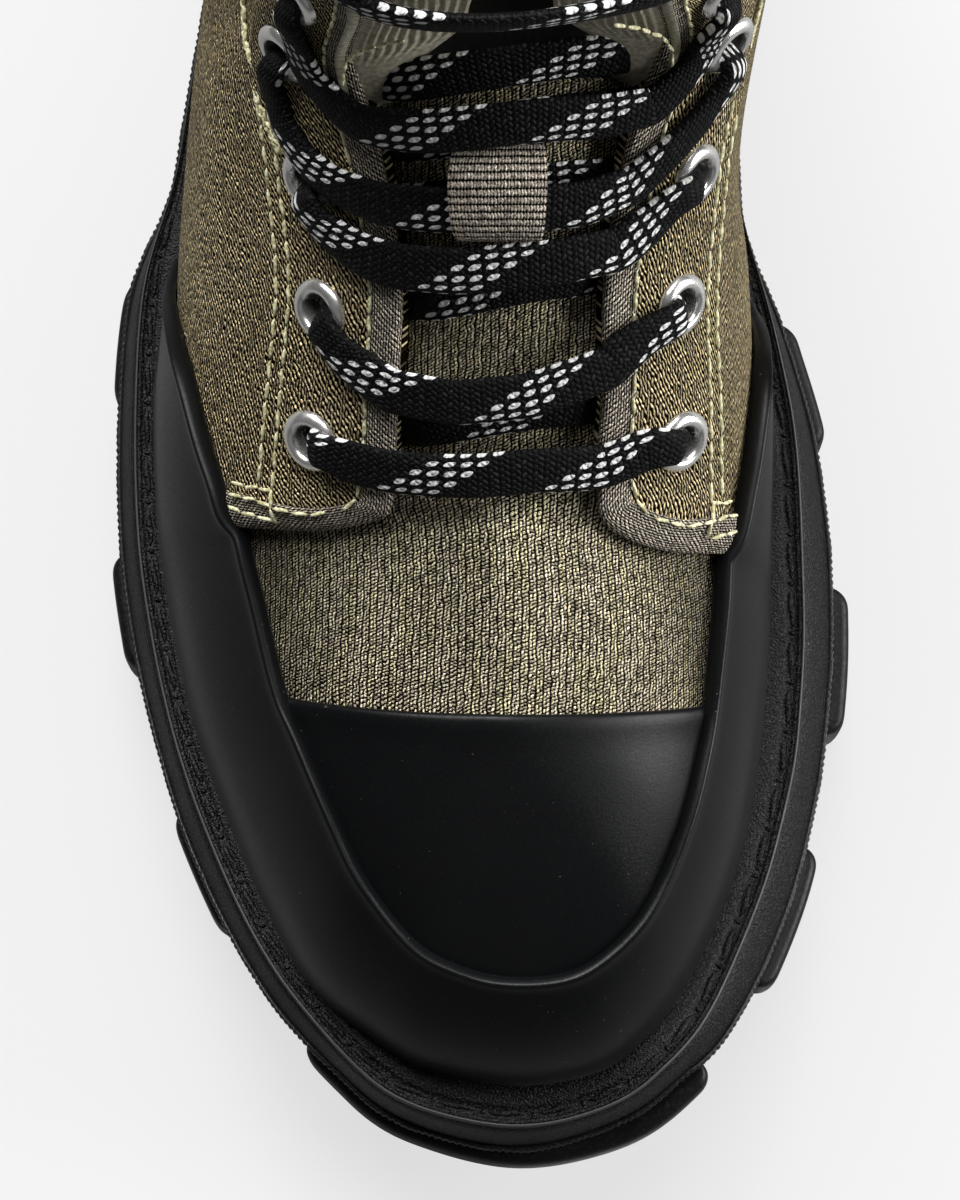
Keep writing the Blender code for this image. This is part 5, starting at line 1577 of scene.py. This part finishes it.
# %% Welt stitches
WELT_STITCH, WELT_STITCH_GAP, GROOVE_IN = 6.1, 1.2, 1.85
BEAD_SCALE, DOT_AHEAD, DOT_SCALE = (2.0, 1.75, 1.3), 3.65, 0.12
welt_line = np.linspace(-10.6, 10.6, 420)
spots = []
for w in welt_line:
    edge, scale = narrow(w)
    spots.append(sole_spot(w, edge - GROOVE_IN * scale, "feather", -0.4))
up = [(0.0, 0.0, 1.0)] * len(spots)
places = seam(spots, up, WELT_STITCH, WELT_STITCH_GAP)
for place in places:
    place[:3, :3] *= BEAD_SCALE
dots = []
for place in places:
    dot = place.copy()
    dot[:3, 3] += place[:3, 0] / BEAD_SCALE[0] * DOT_AHEAD
    dot[:3, 0] *= DOT_SCALE
    dots.append(dot)
dress(copies("welt_stitches", stitch, places + dots), sole_rubber, "sole_rubber")
bpy.data.objects.remove(stitch, do_unlink=True)

# %% [markdown]
# ## Studio
# The camera looks almost straight down over the toe, from a little in front of it. It frames the one
# boot and lets the shaft's top leave the picture.

# %% Camera
AIM = np.array((0.99, -64.48, 60.0)) * MM
ELEVATION, AZIMUTH, DISTANCE = math.radians(82.0), math.radians(3.4), 0.8
level = math.cos(ELEVATION)
back = np.array((math.sin(AZIMUTH) * level, -math.cos(AZIMUTH) * level, math.sin(ELEVATION)))
right_way = np.array((math.cos(AZIMUTH), math.sin(AZIMUTH), 0.0))
up_way = np.cross(back, right_way)
lens = bpy.data.cameras.new("camera")
lens.sensor_fit = "VERTICAL"
lens.sensor_height = 36.0
lens.lens = 169.2
lens.clip_start = 0.01
camera = bpy.data.objects.new("camera", lens)
place = np.eye(4)
place[:3] = np.column_stack((right_way, up_way, back, AIM + back * DISTANCE))
camera.matrix_world = Matrix(place.tolist())
bpy.context.scene.collection.objects.link(camera)
bpy.context.scene.camera = camera
print("camera", round(DISTANCE, 2), "m from its aim")

# %% [markdown]
# The studio is a sheet of pale paper under soft round lights: one low on the right, which draws the
# edges of the rubber, and two high behind the heel and on the left, which light the cloth. The paper
# glows for the camera, so that it comes out pale while the black rubber keeps its depth.

# %% Floor and light
bpy.ops.object.select_all(action="DESELECT")
bpy.ops.mesh.primitive_plane_add(size=6.0, location=(0.0, 0.0, -0.0002))
floor = bpy.context.object
floor.name = "floor"
floor_material, net, shader = new_material("floor_paper")
shader.inputs["Base Color"].default_value = (0.14, 0.14, 0.14, 1.0)
shader.inputs["Emission Color"].default_value = (1.0, 1.0, 1.0, 1.0)
rays = net.add("ShaderNodeLightPath").outputs
seen = net.math("MULTIPLY", rays["Is Camera Ray"], 0.69)
mirrored = net.math("MULTIPLY", rays["Is Glossy Ray"], 0.05)
net.plug(net.math("ADD", seen, mirrored), shader.inputs["Emission Strength"])
shader.inputs["Roughness"].default_value = 0.9
floor.data.materials.append(floor_material)

world = bpy.data.worlds.new("studio")
world.use_nodes = True
world.node_tree.nodes["Background"].inputs["Color"].default_value = (1.0, 1.0, 1.0, 1.0)
world.node_tree.nodes["Background"].inputs["Strength"].default_value = 0.06
bpy.context.scene.world = world
bpy.context.scene.view_settings.view_transform = "Standard"
LIT_SPOT = Vector((0.0, -0.05, 0.05))
LIGHTS = (("right_light", (1.35, 0.1, 0.5), 1.0, 24.0), ("left_light", (-0.6, 1.0, 1.35), 1.1, 28.0),
          ("toe_light", (0.0, -1.5, 0.9), 1.2, 0.3), ("heel_light", (0.05, 0.85, 1.55), 1.2, 30.0))
for name, spot, size, power in LIGHTS:
    light = bpy.data.lights.new(name, "AREA")
    light.shape = "DISK"
    light.size = size
    light.energy = power
    lamp = bpy.data.objects.new(name, light)
    lamp.location = spot
    lamp.rotation_euler = (LIT_SPOT - Vector(spot)).to_track_quat("-Z", "Y").to_euler()
    bpy.context.scene.collection.objects.link(lamp)
print(len(LIGHTS), "lights")
